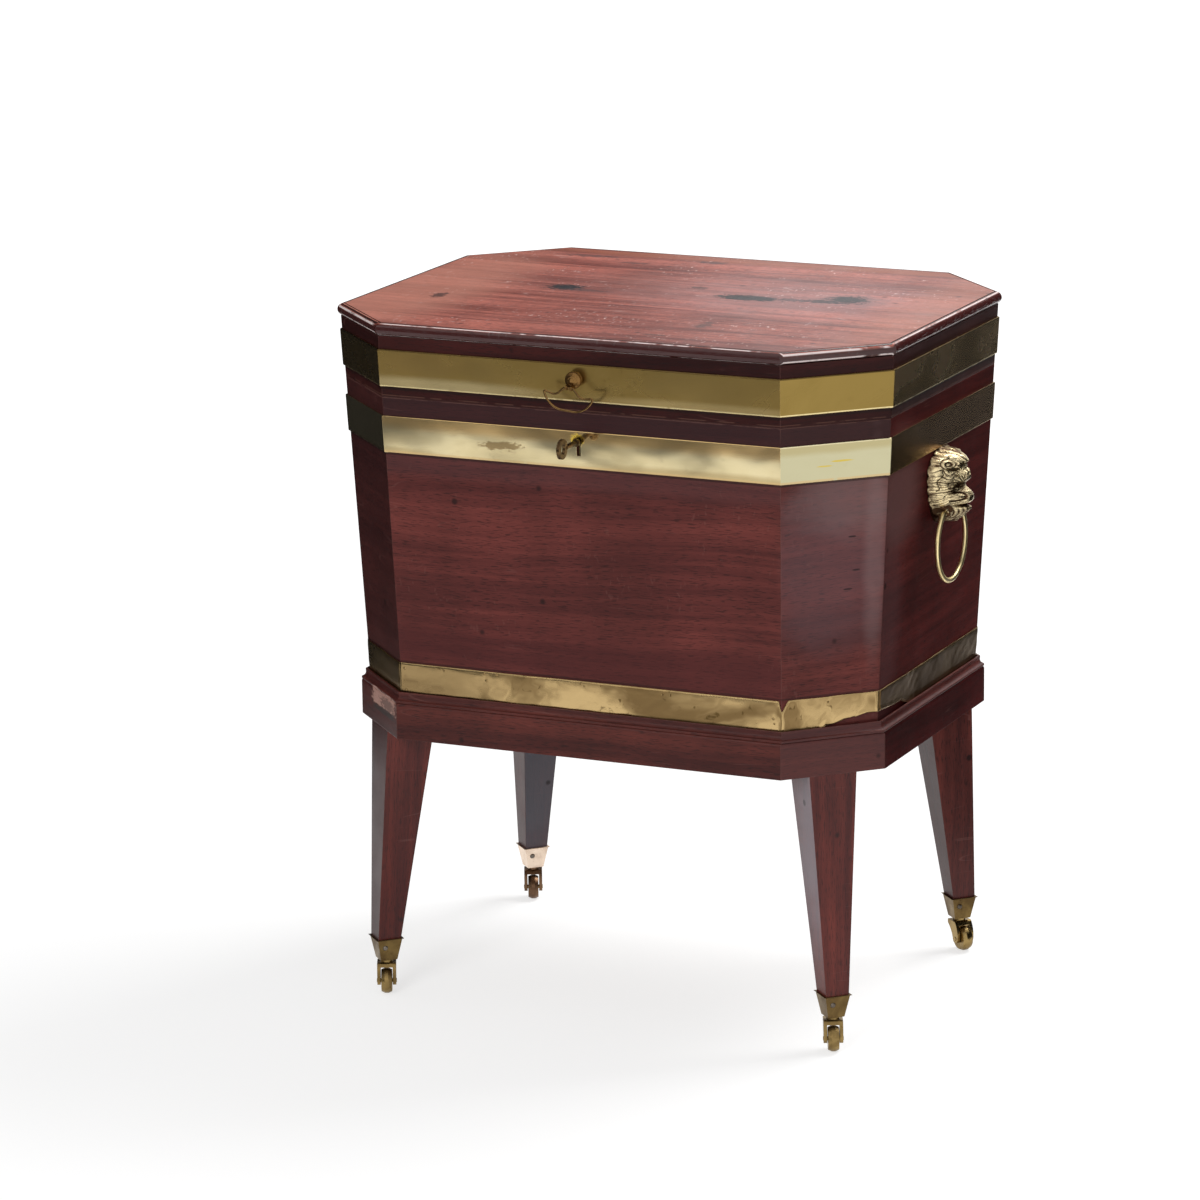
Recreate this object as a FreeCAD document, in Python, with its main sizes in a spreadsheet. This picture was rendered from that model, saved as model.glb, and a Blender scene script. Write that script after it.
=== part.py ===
import FreeCAD, Part

import math
import os
from types import SimpleNamespace

import PartDesign
import Sketcher
from FreeCAD import Placement, Rotation, Vector

# A brass-bound cellarette: a tapering eight-sided chest with a hinged lid, standing in the
# moulded rim of a stand on four splayed legs with brass castors.
#
# Everything is first laid out about the middle of the plan: x to the right, y to the back and
# z up from the floor.  plan_shift() then moves each piece along y, so that the frame's origin
# lies under the middle of the overall outline, key and handles included.

DRIVING_SIZES = {
    # the plan of the chest where it meets the lid, and its heights
    "chest_width": 565.6,
    "chest_depth": 433.6,
    "chest_cant": 78.5,
    "chest_height": 302.5,
    "chest_taper": 16.4,
    "chest_board": 16.0,
    "bottom_board": 14.0,
    # the lid
    "lid_height": 71.5,
    "lid_board": 15.0,
    "top_board": 12.0,
    "bead_projection": 3.0,
    "bead_radius": 5.9,
    "quirk_inset": 5.6,
    "quirk_width": 1.3,
    "quirk_depth": 1.6,
    # the brass bands
    "band_height": 36.2,
    "band_thickness": 1.8,
    "band_edge": 0.7,
    "lid_band_rise": 10.4,
    "upper_band_drop": 18.1,
    "lower_band_height": 34.1,
    "lower_band_rise": 5.0,
    # the inside of the chest
    "liner_sheet": 1.6,
    "liner_drop": 14.0,
    "divider_board": 8.0,
    "divider_height": 150.0,
    "long_divider_pitch": 128.0,
    "cross_divider_pitch": 128.0,
    "divider_play": 0.5,
    # the stand
    "stand_height": 306.0,
    "stand_step": 9.1,
    "stand_cant_gain": 1.276,
    "rail_height": 35.6,
    "rail_thickness": 22.0,
    "rail_rounding": 3.0,
    "block_depth": 50.0,
    "moulding_height": 10.0,
    "moulding_width": 5.7,
    "moulding_fillet": 2.0,
    "moulding_play": 0.5,
    # the legs
    "leg_top": 48.0,
    "leg_foot": 23.2,
    "leg_splay": 22.4,
    "tenon_width": 24.0,
    "tenon_length": 28.0,
    # the castors
    "wheel_room": 1.1,
    "socket_height": 22.4,
    "socket_floor_thickness": 4.0,
    "socket_wall": 1.0,
    "socket_foot": 16.8,
    "socket_lip": 1.5,
    "lip_thickness": 1.0,
    "pin_radius": 3.0,
    "pin_head_radius": 4.2,
    "pin_head": 1.6,
    "neck_radius": 6.1,
    "neck_height": 2.6,
    "fork_width": 18.6,
    "fork_cheek": 3.3,
    "fork_crown": 4.0,
    "castor_trail": 8.0,
    "wheel_radius": 12.5,
    "wheel_width": 10.5,
    "wheel_tread": 1.6,
    "axle_radius": 2.0,
    "axle_head": 0.5,
    "castor_screw_drop": 8.9,
    "castor_screw_offset": 4.5,
    "castor_screw_radius": 1.6,
    "castor_screw_head": 2.7,
    "castor_screw_length": 8.0,
    # the lion masks and their rings
    "mask_drop": 92.3,
    "mask_width": 66.0,
    "mask_length": 69.0,
    "mask_plate": 5.0,
    "mask_swell": 17.0,
    "mask_stud_radius": 3.0,
    "mask_nut_radius": 7.0,
    "mask_nut": 4.0,
    "ring_pivot_drop": 22.7,
    "ring_pivot_reach": 14.0,
    "ring_radius": 37.6,
    "ring_wire": 2.6,
    "ring_clear": 1.8,
    "ring_curl": 6.0,
    "jaw_width": 35.0,
    "ring_peg": 9.0,
    # the lock and its key
    "key_drop": 28.0,
    "key_reach": 46.0,
    "key_shank_radius": 2.5,
    "key_bow_radius": 9.5,
    "key_bow_hole": 4.7,
    "key_bow_thickness": 3.0,
    "key_bit_radius": 11.5,
    "key_bit_width": 3.0,
    "key_bit_thickness": 2.4,
    "keyhole_radius": 3.6,
    "keyhole_slot": 4.4,
    "keyhole_drop": 14.0,
    "lock_side_room": 2.25,
    "lock_bit_room": 1.0,
    "lock_case": 9.5,
    "lock_plate": 1.5,
    "lock_setback": 6.3,
    "bolt_throw": 7.0,
    "bolt_plate": 2.0,
    "bolt_height": 6.5,
    "bolt_lift": 9.0,
    "staple_pitch": 32.0,
    "staple_width": 2.5,
    "staple_depth": 4.4,
    "staple_rim": 1.3,
    "link_plate_length": 52.0,
    "link_plate_width": 8.0,
    "link_plate": 1.5,
    # the hinges
    "hinge_margin": 24.3,
    "hinge_length": 60.0,
    "hinge_leaf": 2.0,
    "hinge_leaf_width": 13.0,
    "hinge_knuckle_radius": 3.0,
    "hinge_pin_radius": 1.3,
    "knuckle_play": 0.15,
    # the handle in the middle of the lid's band
    "boss_rise": 4.0,
    "boss_radius": 8.3,
    "boss_shank_radius": 2.5,
    "handle_nut_radius": 6.5,
    "handle_nut": 4.0,
    "eye_drop": 5.6,
    "eye_reach": 14.8,
    "eye_radius": 2.1,
    "eye_spread": 1.5,
    "eye_width": 2.0,
    "bail_wire": 1.0,
    "bail_width": 51.6,
    "bail_tip": 5.4,
    "bail_hollow": 8.8,
    "bail_drop": 21.6,
    # working clearances
    "running_gap": 0.3,
    "shaft_gap": 0.05,
}

# The lid's handle is screwed in a little askew, its right end lower: the turn in degrees.
BOSS_TURN = 6.0

# How far each castor has swivelled, in degrees from its leg's outward direction.
CASTOR_TURN = {
    "front_left": 70.0,
    "front_right": -20.0,
    "back_right": -85.0,
    "back_left": -200.0,
}

# The four long sides of the plan, and its four corners, each anticlockwise.
LONG_SIDES = ("front", "right", "back", "left")
CORNERS = ("front_left", "front_right", "back_right", "back_left")

# An octagon's corner cuts shrink by this share of an inset that is the same on all its sides.
CANT_SHARE = 2.0 - math.sqrt(2.0)

CUTTING_FEATURES = ("PartDesign::Pocket", "PartDesign::SubtractiveLoft",
                    "PartDesign::SubtractiveCylinder")

PARTS_FOLDER = "parts"


# ------------------------------------------------------------------ sizes and expressions


class Size:
    """A length that knows its value and the spreadsheet expression behind it."""

    def __init__(self, value, text=None):
        self.value = float(value)
        self.text = text if text else "(%r)" % float(value)

    @staticmethod
    def of(item):
        return item if isinstance(item, Size) else Size(item)

    def joined(self, other, sign, value):
        return Size(value, "(%s %s %s)" % (self.text, sign, other.text))

    def __add__(self, other):
        other = Size.of(other)
        return self.joined(other, "+", self.value + other.value)

    def __sub__(self, other):
        other = Size.of(other)
        return self.joined(other, "-", self.value - other.value)

    def __mul__(self, other):
        other = Size.of(other)
        return self.joined(other, "*", self.value * other.value)

    def __truediv__(self, other):
        other = Size.of(other)
        return self.joined(other, "/", self.value / other.value)

    def __radd__(self, other):
        return Size.of(other) + self

    def __rsub__(self, other):
        return Size.of(other) - self

    def __rmul__(self, other):
        return Size.of(other) * self

    def __neg__(self):
        return Size.of(0.0) - self

    def __float__(self):
        return self.value


def write_sheet(doc):
    """Put the driving sizes into the spreadsheet and return them as Size values."""
    sheet = doc.addObject("Spreadsheet::Sheet", "sizes")
    sizes = {}
    for row, (alias, value) in enumerate(DRIVING_SIZES.items(), start=1):
        sheet.set("A%d" % row, alias)
        sheet.set("B%d" % row, str(value))
        sheet.setAlias("B%d" % row, alias)
        sizes[alias] = Size(value, "sizes.%s" % alias)
    doc.recompute()
    return SimpleNamespace(**sizes)


def bind(item, prop, size):
    """Tie a property of a document object to the spreadsheet."""
    item.setExpression(prop, Size.of(size).text)


DOC = FreeCAD.newDocument("cellarette")
S = write_sheet(DOC)


# ------------------------------------------------------------------ the eight-sided plan


def long_side(name):
    """The number of the plan's edge that a long side stands on."""
    return 2 * LONG_SIDES.index(name)


def corner_sides():
    """The numbers of the plan's edges at its four canted corners."""
    return [2 * place + 1 for place, name in enumerate(LONG_SIDES)]


def corner_signs(name):
    """The signs along x and y of a corner."""
    return (1 if "right" in name else -1), (1 if "back" in name else -1)


def joint():
    """The height at which the chest meets the lid."""
    return S.stand_height + S.chest_height


def stand_width():
    return S.chest_width - 2 * S.chest_taper + 2 * S.stand_step


def stand_depth():
    return S.chest_depth - 2 * S.chest_taper + 2 * S.stand_step


def stand_cant():
    return S.chest_cant - CANT_SHARE * (S.chest_taper - S.stand_step) + S.stand_cant_gain


def octagon(half_width, half_depth, cant, z):
    """The eight corners of a rectangle with cut corners, starting at the front's left end."""
    w, d, c = float(half_width), float(half_depth), float(cant)
    corners = [(c - w, -d), (w - c, -d), (w, c - d), (w, d - c),
               (w - c, d), (c - w, d), (-w, d - c), (-w, c - d)]
    return [Vector(x, y, float(z)) for x, y in corners]


def lean():
    """How far the chest's faces come inwards for each millimetre downwards."""
    return S.chest_taper / S.chest_height


def face_inset(z, inset=0.0):
    """Inset of a face at height z from the plan at the joint between chest and lid."""
    return lean() * (joint() - z) + inset


def chest_plan(z, inset=0.0):
    """The chest's or lid's plan at height z, inset from the outer faces of its boards."""
    step = face_inset(z, inset)
    return octagon(S.chest_width / 2 - step, S.chest_depth / 2 - step,
                   S.chest_cant - CANT_SHARE * step, z)


def stand_plan(z, inset=0.0):
    """The stand's plan at height z, inset from its outer faces."""
    step = Size.of(inset)
    return octagon(stand_width() / 2 - step, stand_depth() / 2 - step,
                   stand_cant() - CANT_SHARE * step, z)


def lean_angle():
    """The lean of the chest's faces in degrees."""
    return math.degrees(math.atan(float(lean())))


def lid_top():
    return joint() + S.lid_height


def lid_underside():
    return lid_top() - S.top_board


def lid_foot():
    return joint() + S.running_gap


def chest_foot():
    return S.stand_height + S.running_gap


def stand_bottom():
    return S.stand_height - S.rail_height


def front_face(z, inset=0.0):
    """y of the chest's front face at height z."""
    return -(S.chest_depth / 2 - face_inset(z, inset))


def side_face(z, inset=0.0):
    """x of the chest's right face at height z."""
    return S.chest_width / 2 - face_inset(z, inset)


def plan_shift():
    """Moves the middle of the overall outline, from the key's bow to the lid's bead, to y = 0."""
    key_front = -front_face(key_axis()) + S.band_thickness + S.key_reach
    bead_back = -front_face(lid_underside()) + S.bead_projection
    return (key_front - bead_back) / 2


# ------------------------------------------------------------------ solids from polygons


def frustum(bottom, top):
    """The solid between two outlines with the same number of corners and parallel edges."""
    count = len(bottom)
    faces = [Part.Face(Part.makePolygon(bottom + bottom[:1])),
             Part.Face(Part.makePolygon(top + top[:1]))]
    for start in range(count):
        end = (start + 1) % count
        side = [bottom[start], bottom[end], top[end], top[start], bottom[start]]
        faces.append(Part.Face(Part.makePolygon(side)))
    return Part.makeSolid(Part.makeShell(faces))


def mitred_board(plan, side, low, high, outer, inner):
    """One board of an eight-sided box, between heights low and high, with mitred ends."""
    ends = []
    for z in (low, high):
        outside = plan(z, outer)
        inside = plan(z, inner)
        after = (side + 1) % 8
        ends.append([outside[side], outside[after], inside[after], inside[side]])
    return frustum(ends[0], ends[1])


def ring_wall(plan, low, high, outer, inner):
    """A closed eight-sided wall between heights low and high."""
    outside = frustum(plan(low, outer), plan(high, outer))
    inside = frustum(plan(low, inner), plan(high, inner))
    return outside.cut(inside)


def box_between(x, y, z):
    """A block from its (low, high) pairs along x, y and z."""
    lows = [min(float(pair[0]), float(pair[1])) for pair in (x, y, z)]
    spans = [abs(float(pair[1]) - float(pair[0])) for pair in (x, y, z)]
    return Part.makeBox(spans[0], spans[1], spans[2], Vector(*lows))


def rounded_path(points, radii, closed=False):
    """Straight runs through the points, joined by tangent arcs of the given radii."""
    count = len(points)
    corners = range(count) if closed else range(1, count - 1)
    arcs = {}
    for index in corners:
        corner = points[index]
        before = (points[index - 1] - corner).normalize()
        after = (points[(index + 1) % count] - corner).normalize()
        half_angle = before.getAngle(after) / 2
        reach = radii[index] / math.tan(half_angle)
        middle = (before + after).normalize()
        crest = corner + middle * (radii[index] / math.sin(half_angle) - radii[index])
        arcs[index] = (corner + before * reach, crest, corner + after * reach)
    edges = []
    for index in range(count if closed else count - 1):
        after = (index + 1) % count
        start = arcs[index][2] if index in arcs else points[index]
        end = arcs[after][0] if after in arcs else points[after]
        if start.distanceToPoint(end) > 1e-6:
            edges.append(Part.LineSegment(start, end).toShape())
        if after in arcs:
            edges.append(Part.Arc(*arcs[after]).toShape())
    return Part.Wire(Part.__sortEdges__(edges))


def wire_along(path, radius, sides):
    """A cast wire along a path in the yz or xz plane, its section a many-sided round."""
    start = path.OrderedEdges[0]
    point = start.valueAt(start.FirstParameter)
    direction = start.tangentAt(start.FirstParameter)
    upright = Vector(1, 0, 0) if abs(direction.x) < 1e-9 else Vector(0, 1, 0)
    across = direction.cross(upright)
    corners = []
    for number in range(sides + 1):
        angle = 2 * math.pi * (number + 0.5) / sides
        step = upright * math.cos(angle) + across * math.sin(angle)
        corners.append(point + step * radius)
    section = Part.makePolygon(corners)
    return path.makePipeShell([section], True, False)


# ------------------------------------------------------------------ sub-parts of the document

NODES = []


def placed(item, x=0.0, y=0.0, z=0.0, turn=None):
    """Put a sub-part in its place in the plan, and list it as a node."""
    if turn is not None:
        item.Placement = Placement(Vector(), turn)
    bind(item, "Placement.Base.x", x)
    bind(item, "Placement.Base.y", y + plan_shift())
    bind(item, "Placement.Base.z", z)
    NODES.append(item)
    return item


def part_from_shape(label, shape, x=0.0, y=0.0, z=0.0, turn=None):
    """A sub-part with a shape made from Part's own operations."""
    item = DOC.addObject("Part::Feature", label)
    item.Label = label
    item.Shape = shape
    return placed(item, x, y, z, turn)


def new_body(label):
    body = DOC.addObject("PartDesign::Body", label)
    body.Label = label
    return body


def attach(feature, body, plane="XY_Plane"):
    """Attach a sketch or a primitive to one of the body's own origin planes."""
    support = [item for item in body.Origin.OriginFeatures if item.Role == plane][0]
    feature.AttachmentSupport = [(support, "")]
    feature.MapMode = "FlatFace"


def sketch_on(body, name, plane="XY_Plane", lift=0.0):
    """A sketch on one of the body's own origin planes, lifted along that plane's normal."""
    sketch = body.newObject("Sketcher::SketchObject", name)
    attach(sketch, body, plane)
    bind(sketch, "AttachmentOffset.Base.z", lift)
    return sketch


def pin_point(sketch, geometry, position, x, y):
    """Fix a point of a sketch by its two coordinates, each tied to the spreadsheet."""
    for kind, axis, coordinate in (("DistanceX", -2, Size.of(x)), ("DistanceY", -1, Size.of(y))):
        if abs(coordinate.value) < 1e-9:
            sketch.addConstraint(Sketcher.Constraint("PointOnObject", geometry, position, axis))
            continue
        ends = (-1, 1, geometry, position) if coordinate.value > 0 else (geometry, position, -1, 1)
        distance = coordinate if coordinate.value > 0 else -coordinate
        number = sketch.addConstraint(Sketcher.Constraint(kind, *ends, distance.value))
        bind(sketch, "Constraints[%d]" % number, distance)


def outline(sketch, corners, bulges=None):
    """A closed outline through the corners; bulges gives an arc's radius for chosen edges.

    A positive radius bulges to the right of the way from one corner to the next, which is
    outwards on an outline drawn anticlockwise, and a negative one to the left.
    """
    bulges = bulges or {}
    points = [Vector(float(x), float(y), 0) for x, y in corners]
    count = len(points)
    first = sketch.GeometryCount
    ends = []
    for index in range(count):
        start, end = points[index], points[(index + 1) % count]
        if index not in bulges:
            sketch.addGeometry(Part.LineSegment(start, end), False)
            ends.append((1, 2))
            continue
        radius = float(bulges[index])
        chord = end - start
        right = Vector(chord.y, -chord.x, 0).normalize()
        half = chord.Length / 2
        rise = abs(radius) - math.sqrt(radius * radius - half * half)
        crest = (start + end) * 0.5 + right * math.copysign(rise, radius)
        sketch.addGeometry(Part.Arc(start, crest, end), False)
        # a sketch keeps its arcs anticlockwise, so one drawn clockwise starts at its far end
        ends.append((1, 2) if radius > 0 else (2, 1))
    for index in range(count):
        after = (index + 1) % count
        sketch.addConstraint(Sketcher.Constraint(
            "Coincident", first + index, ends[index][1], first + after, ends[after][0]))
    for index, (x, y) in enumerate(corners):
        pin_point(sketch, first + index, ends[index][0], x, y)
    for index, radius in bulges.items():
        size = Size.of(radius)
        size = size if size.value > 0 else -size
        number = sketch.addConstraint(
            Sketcher.Constraint("Radius", first + index, size.value))
        bind(sketch, "Constraints[%d]" % number, size)
    return sketch


def circle(sketch, x, y, radius):
    """A circle with its centre and radius tied to the spreadsheet."""
    radius = Size.of(radius)
    number = sketch.addGeometry(
        Part.Circle(Vector(float(x), float(y), 0), Vector(0, 0, 1), radius.value), False)
    pin_point(sketch, number, 3, x, y)
    constraint = sketch.addConstraint(Sketcher.Constraint("Radius", number, radius.value))
    bind(sketch, "Constraints[%d]" % constraint, radius)
    return sketch


def rectangle(sketch, left, right, low, high):
    return outline(sketch, [(left, low), (right, low), (right, high), (left, high)])


def square(sketch, side, x=0.0):
    """A square with its middle at x on the horizontal axis."""
    half = Size.of(side) / 2
    return rectangle(sketch, x - half, x + half, -half, half)


def pad(body, sketch, length, symmetric=False, down=False):
    feature = body.newObject("PartDesign::Pad", sketch.Name + "_pad")
    feature.Profile = sketch
    feature.SideType = "Symmetric" if symmetric else "One side"
    feature.Reversed = down
    bind(feature, "Length", length)
    return feature


def pocket(body, sketch, length, symmetric=False, up=False):
    feature = body.newObject("PartDesign::Pocket", sketch.Name + "_pocket")
    feature.Profile = sketch
    feature.SideType = "Symmetric" if symmetric else "One side"
    feature.Reversed = up
    bind(feature, "Length", length)
    return feature


def loft(body, first, second, cut=False):
    kind = "PartDesign::SubtractiveLoft" if cut else "PartDesign::AdditiveLoft"
    feature = body.newObject(kind, first.Name + "_loft")
    feature.Profile = first
    feature.Sections = [second]
    feature.Ruled = True
    return feature


def revolve(body, sketch, axis="V_Axis"):
    feature = body.newObject("PartDesign::Revolution", sketch.Name + "_revolution")
    feature.Profile = sketch
    feature.ReferenceAxis = (sketch, [axis])
    feature.Angle = 360
    return feature


def round_edges(body, feature, radius, chosen):
    """Fillet those edges of a feature for which chosen(edge) is true."""
    DOC.recompute()
    names = ["Edge%d" % (number + 1) for number, edge in enumerate(feature.Shape.Edges)
             if chosen(edge)]
    if not names:
        raise ValueError("no edge of %s to round" % feature.Name)
    fillet = body.newObject("PartDesign::Fillet", feature.Name + "_rounding")
    fillet.Base = (feature, names)
    bind(fillet, "Radius", radius)
    return fillet


def drill(body, name, radius, length, place):
    """A round hole from place, along the place's own z."""
    hole = body.newObject("PartDesign::SubtractiveCylinder", name)
    attach(hole, body)
    hole.AttachmentOffset = place
    bind(hole, "Radius", radius)
    bind(hole, "Height", length)
    return hole


# ------------------------------------------------------------------ the stand


def build_long_rail(name):
    """A straight rail, butted between two corner blocks, with its top outer edge rounded."""
    body = new_body("stand_%s_rail" % name)
    along_x = name in ("front", "back")
    half_depth = (stand_depth() if along_x else stand_width()) / 2
    half_length = (stand_width() if along_x else stand_depth()) / 2 - stand_cant()
    sketch = sketch_on(body, "%s_rail_plan" % name)
    rectangle(sketch, -half_length, half_length, -half_depth, S.rail_thickness - half_depth)
    rail = pad(body, sketch, S.rail_height)
    top = float(S.rail_height)
    outer = -float(half_depth)
    round_edges(body, rail, S.rail_rounding, lambda edge: (
        abs(edge.CenterOfMass.z - top) < 1e-4 and abs(edge.CenterOfMass.y - outer) < 1e-4))
    turn = Rotation(Vector(0, 0, 1), 45.0 * long_side(name))
    placed(body, z=stand_bottom(), turn=turn)


def corner_block_shape(sign_x, sign_y):
    """A solid block behind a canted face, reaching in far enough to hold the leg's tenon."""
    half_width, half_depth = stand_width() / 2, stand_depth() / 2
    rail, cant = S.rail_thickness, stand_cant()
    reach = S.block_depth * math.sqrt(2.0) - rail
    plan = [(half_width - cant, half_depth), (half_width, half_depth - cant),
            (half_width - rail, half_depth - cant), (half_width - rail, half_depth - cant - reach),
            (half_width - cant - reach, half_depth - rail), (half_width - cant, half_depth - rail)]
    low, high = stand_bottom(), S.stand_height
    points = [Vector(sign_x * float(x), sign_y * float(y), float(low)) for x, y in plan]
    face = Part.Face(Part.makePolygon(points + points[:1]))
    block = face.extrude(Vector(0, 0, float(high - low)))
    outer_face = float(half_width + half_depth - cant) / math.sqrt(2.0)
    normal = Vector(sign_x, sign_y, 0).normalize()
    outer_top = [edge for edge in block.Edges
                 if abs(edge.CenterOfMass.dot(normal) - outer_face) < 1e-3
                 and abs(edge.CenterOfMass.z - float(high)) < 1e-3]
    block = block.makeFillet(float(S.rail_rounding), outer_top)
    return block.cut(tenon_shape(sign_x, sign_y))


def leg_top_centre(sign_x, sign_y):
    """Middle of a leg's square top: its outer face is flush with the canted face."""
    middle_x = (stand_width() - stand_cant()) / 2
    middle_y = (stand_depth() - stand_cant()) / 2
    back = S.leg_top / 2 / math.sqrt(2.0)
    return sign_x * (middle_x - back), sign_y * (middle_y - back)


def tenon_shape(sign_x, sign_y):
    """The mortise for a leg's tenon, turned with the leg."""
    x, y = leg_top_centre(sign_x, sign_y)
    half = float(S.tenon_width / 2)
    mortise = box_between((-half, half), (-half, half), (0, S.tenon_length))
    mortise.rotate(Vector(), Vector(0, 0, 1), 45.0)
    mortise.translate(Vector(float(x), float(y), float(stand_bottom())))
    return mortise


def build_corner_blocks():
    blocks = [corner_block_shape(*corner_signs(name)) for name in CORNERS]
    part_from_shape("stand_corner_blocks", Part.makeCompound(blocks))


def moulding_profile(side):
    """Section of the small stepped and hollowed moulding, at the start of one side."""
    base = float(S.stand_height)
    top = base + float(S.moulding_height)
    fillet = float(S.moulding_fillet)
    width = float(S.moulding_width)
    inner_plan = chest_plan(S.stand_height + S.moulding_height,
                            -S.band_thickness - S.moulding_play)
    start, end = inner_plan[side], inner_plan[(side + 1) % 8]
    along = (end - start).normalize()
    outward = Vector(along.y, -along.x, 0)
    origin = Vector((start.x + end.x) / 2, (start.y + end.y) / 2, 0)

    def point(step, z):
        return origin + outward * step + Vector(0, 0, z)

    hollow_start = point(width, base + fillet)
    hollow_end = point(fillet, top - fillet)
    sag = 0.3 * (width - fillet)
    hollow_middle = (hollow_start + hollow_end) * 0.5 - outward * sag - Vector(0, 0, sag)
    edges = [Part.makePolygon([hollow_end, point(fillet, top), point(0, top), point(0, base),
                               point(width, base), hollow_start]).Edges,
             [Part.Arc(hollow_start, hollow_middle, hollow_end).toShape()]]
    wire = Part.Wire(Part.__sortEdges__(edges[0] + edges[1]))
    return Part.Face(wire), along, (end - start).Length


def mitre_wedge(side, low, high):
    """The space between the two vertical mitre planes of one side of the chest's plan."""
    reach_out, reach_in = -20.0, 60.0
    outside = chest_plan(S.stand_height, reach_out)
    inside = chest_plan(S.stand_height, reach_in)
    after = (side + 1) % 8
    corners = [outside[side], outside[after], inside[after], inside[side]]
    wedge = []
    for z in (low, high):
        wedge.append([Vector(corner.x, corner.y, float(z)) for corner in corners])
    return frustum(wedge[0], wedge[1])


def build_moulding():
    """Eight lengths of moulding, mitred round the top of the stand to hold the chest."""
    lengths = []
    for side in range(8):
        profile, along, span = moulding_profile(side)
        spare = 20.0
        length = span + 2 * spare
        bar = profile.extrude(along * length)
        bar.translate(along * (-length / 2))
        wedge = mitre_wedge(side, S.stand_height - 1, S.stand_height + S.moulding_height + 1)
        lengths.append(bar.common(wedge).Solids[0])
    part_from_shape("stand_moulding", Part.makeCompound(lengths))


def socket_floor():
    """The height of the socket's foot: the wheel, its room, the fork's crown and its neck."""
    fork = S.fork_crown + S.neck_height + S.running_gap
    return 2 * S.wheel_radius + S.wheel_room + fork


def socket_top():
    return socket_floor() + S.socket_height


def socket_side(z):
    """Outer width of a castor socket at height z."""
    top_side = S.leg_foot + 2 * S.socket_wall
    share = (z - socket_floor()) / (socket_top() - socket_floor())
    return S.socket_foot + (top_side - S.socket_foot) * share


def castor_screw_place(sign_x, sign_y):
    """Where a castor's screw stands in its leg's own frame, and the way it goes in.

    Each screw is on the face that looks to the front right of the object.
    """
    facing = -45.0 - math.degrees(math.atan2(sign_y, sign_x))
    height = socket_top() - S.castor_screw_drop
    reach = float(socket_side(height) / 2)
    tilt = math.degrees(math.atan(float(
        (S.leg_foot + 2 * S.socket_wall - S.socket_foot) / 2 / (socket_top() - socket_floor()))))
    turn = Rotation(Vector(0, 0, 1), facing) * Rotation(Vector(0, 1, 0), 90.0 + tilt)
    base = Rotation(Vector(0, 0, 1), facing).multVec(
        Vector(reach, -float(S.castor_screw_offset), float(height)))
    return Placement(base, turn)


def leg_turn(sign_x, sign_y):
    return Rotation(Vector(0, 0, 1), math.degrees(math.atan2(sign_y, sign_x)))


def foot_centre(sign_x, sign_y):
    """Middle of a castor: its leg's foot, splayed outwards along the diagonal."""
    x, y = leg_top_centre(sign_x, sign_y)
    step = S.leg_splay / math.sqrt(2.0)
    return x + sign_x * step, y + sign_y * step


def build_leg(name, sign_x, sign_y):
    """A square leg that tapers and splays, with a tenon above and a tapered toe below."""
    body = new_body("leg_%s" % name)
    x, y = leg_top_centre(sign_x, sign_y)
    splay = S.leg_splay
    top = square(sketch_on(body, "leg_top_section_" + name, lift=stand_bottom()), S.leg_top)
    foot = square(sketch_on(body, "leg_foot_section_" + name, lift=socket_top()),
                  S.leg_foot, x=splay)
    loft(body, top, foot)
    tenon = square(sketch_on(body, "tenon_section_" + name, lift=stand_bottom()), S.tenon_width)
    pad(body, tenon, S.tenon_length)
    toe_height = (socket_floor() + S.socket_floor_thickness + S.pin_head + 2 * S.running_gap)
    toe_top = square(sketch_on(body, "toe_top_section_" + name, lift=socket_top()),
                     socket_side(socket_top()) - 2 * S.socket_wall, x=splay)
    toe_foot = square(sketch_on(body, "toe_foot_section_" + name, lift=toe_height),
                      socket_side(toe_height) - 2 * S.socket_wall, x=splay)
    loft(body, toe_top, toe_foot)
    place = castor_screw_place(sign_x, sign_y)
    inwards = place.Rotation.multVec(Vector(0, 0, -1)) * (float(S.castor_screw_length) + 0.2)
    place.Base = place.Base + inwards + Vector(float(splay), 0, 0)
    drill(body, "screw_hole_leg_" + name, S.castor_screw_radius,
          S.castor_screw_length + 1.0, place)
    placed(body, x=x, y=y, turn=leg_turn(sign_x, sign_y))


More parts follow.
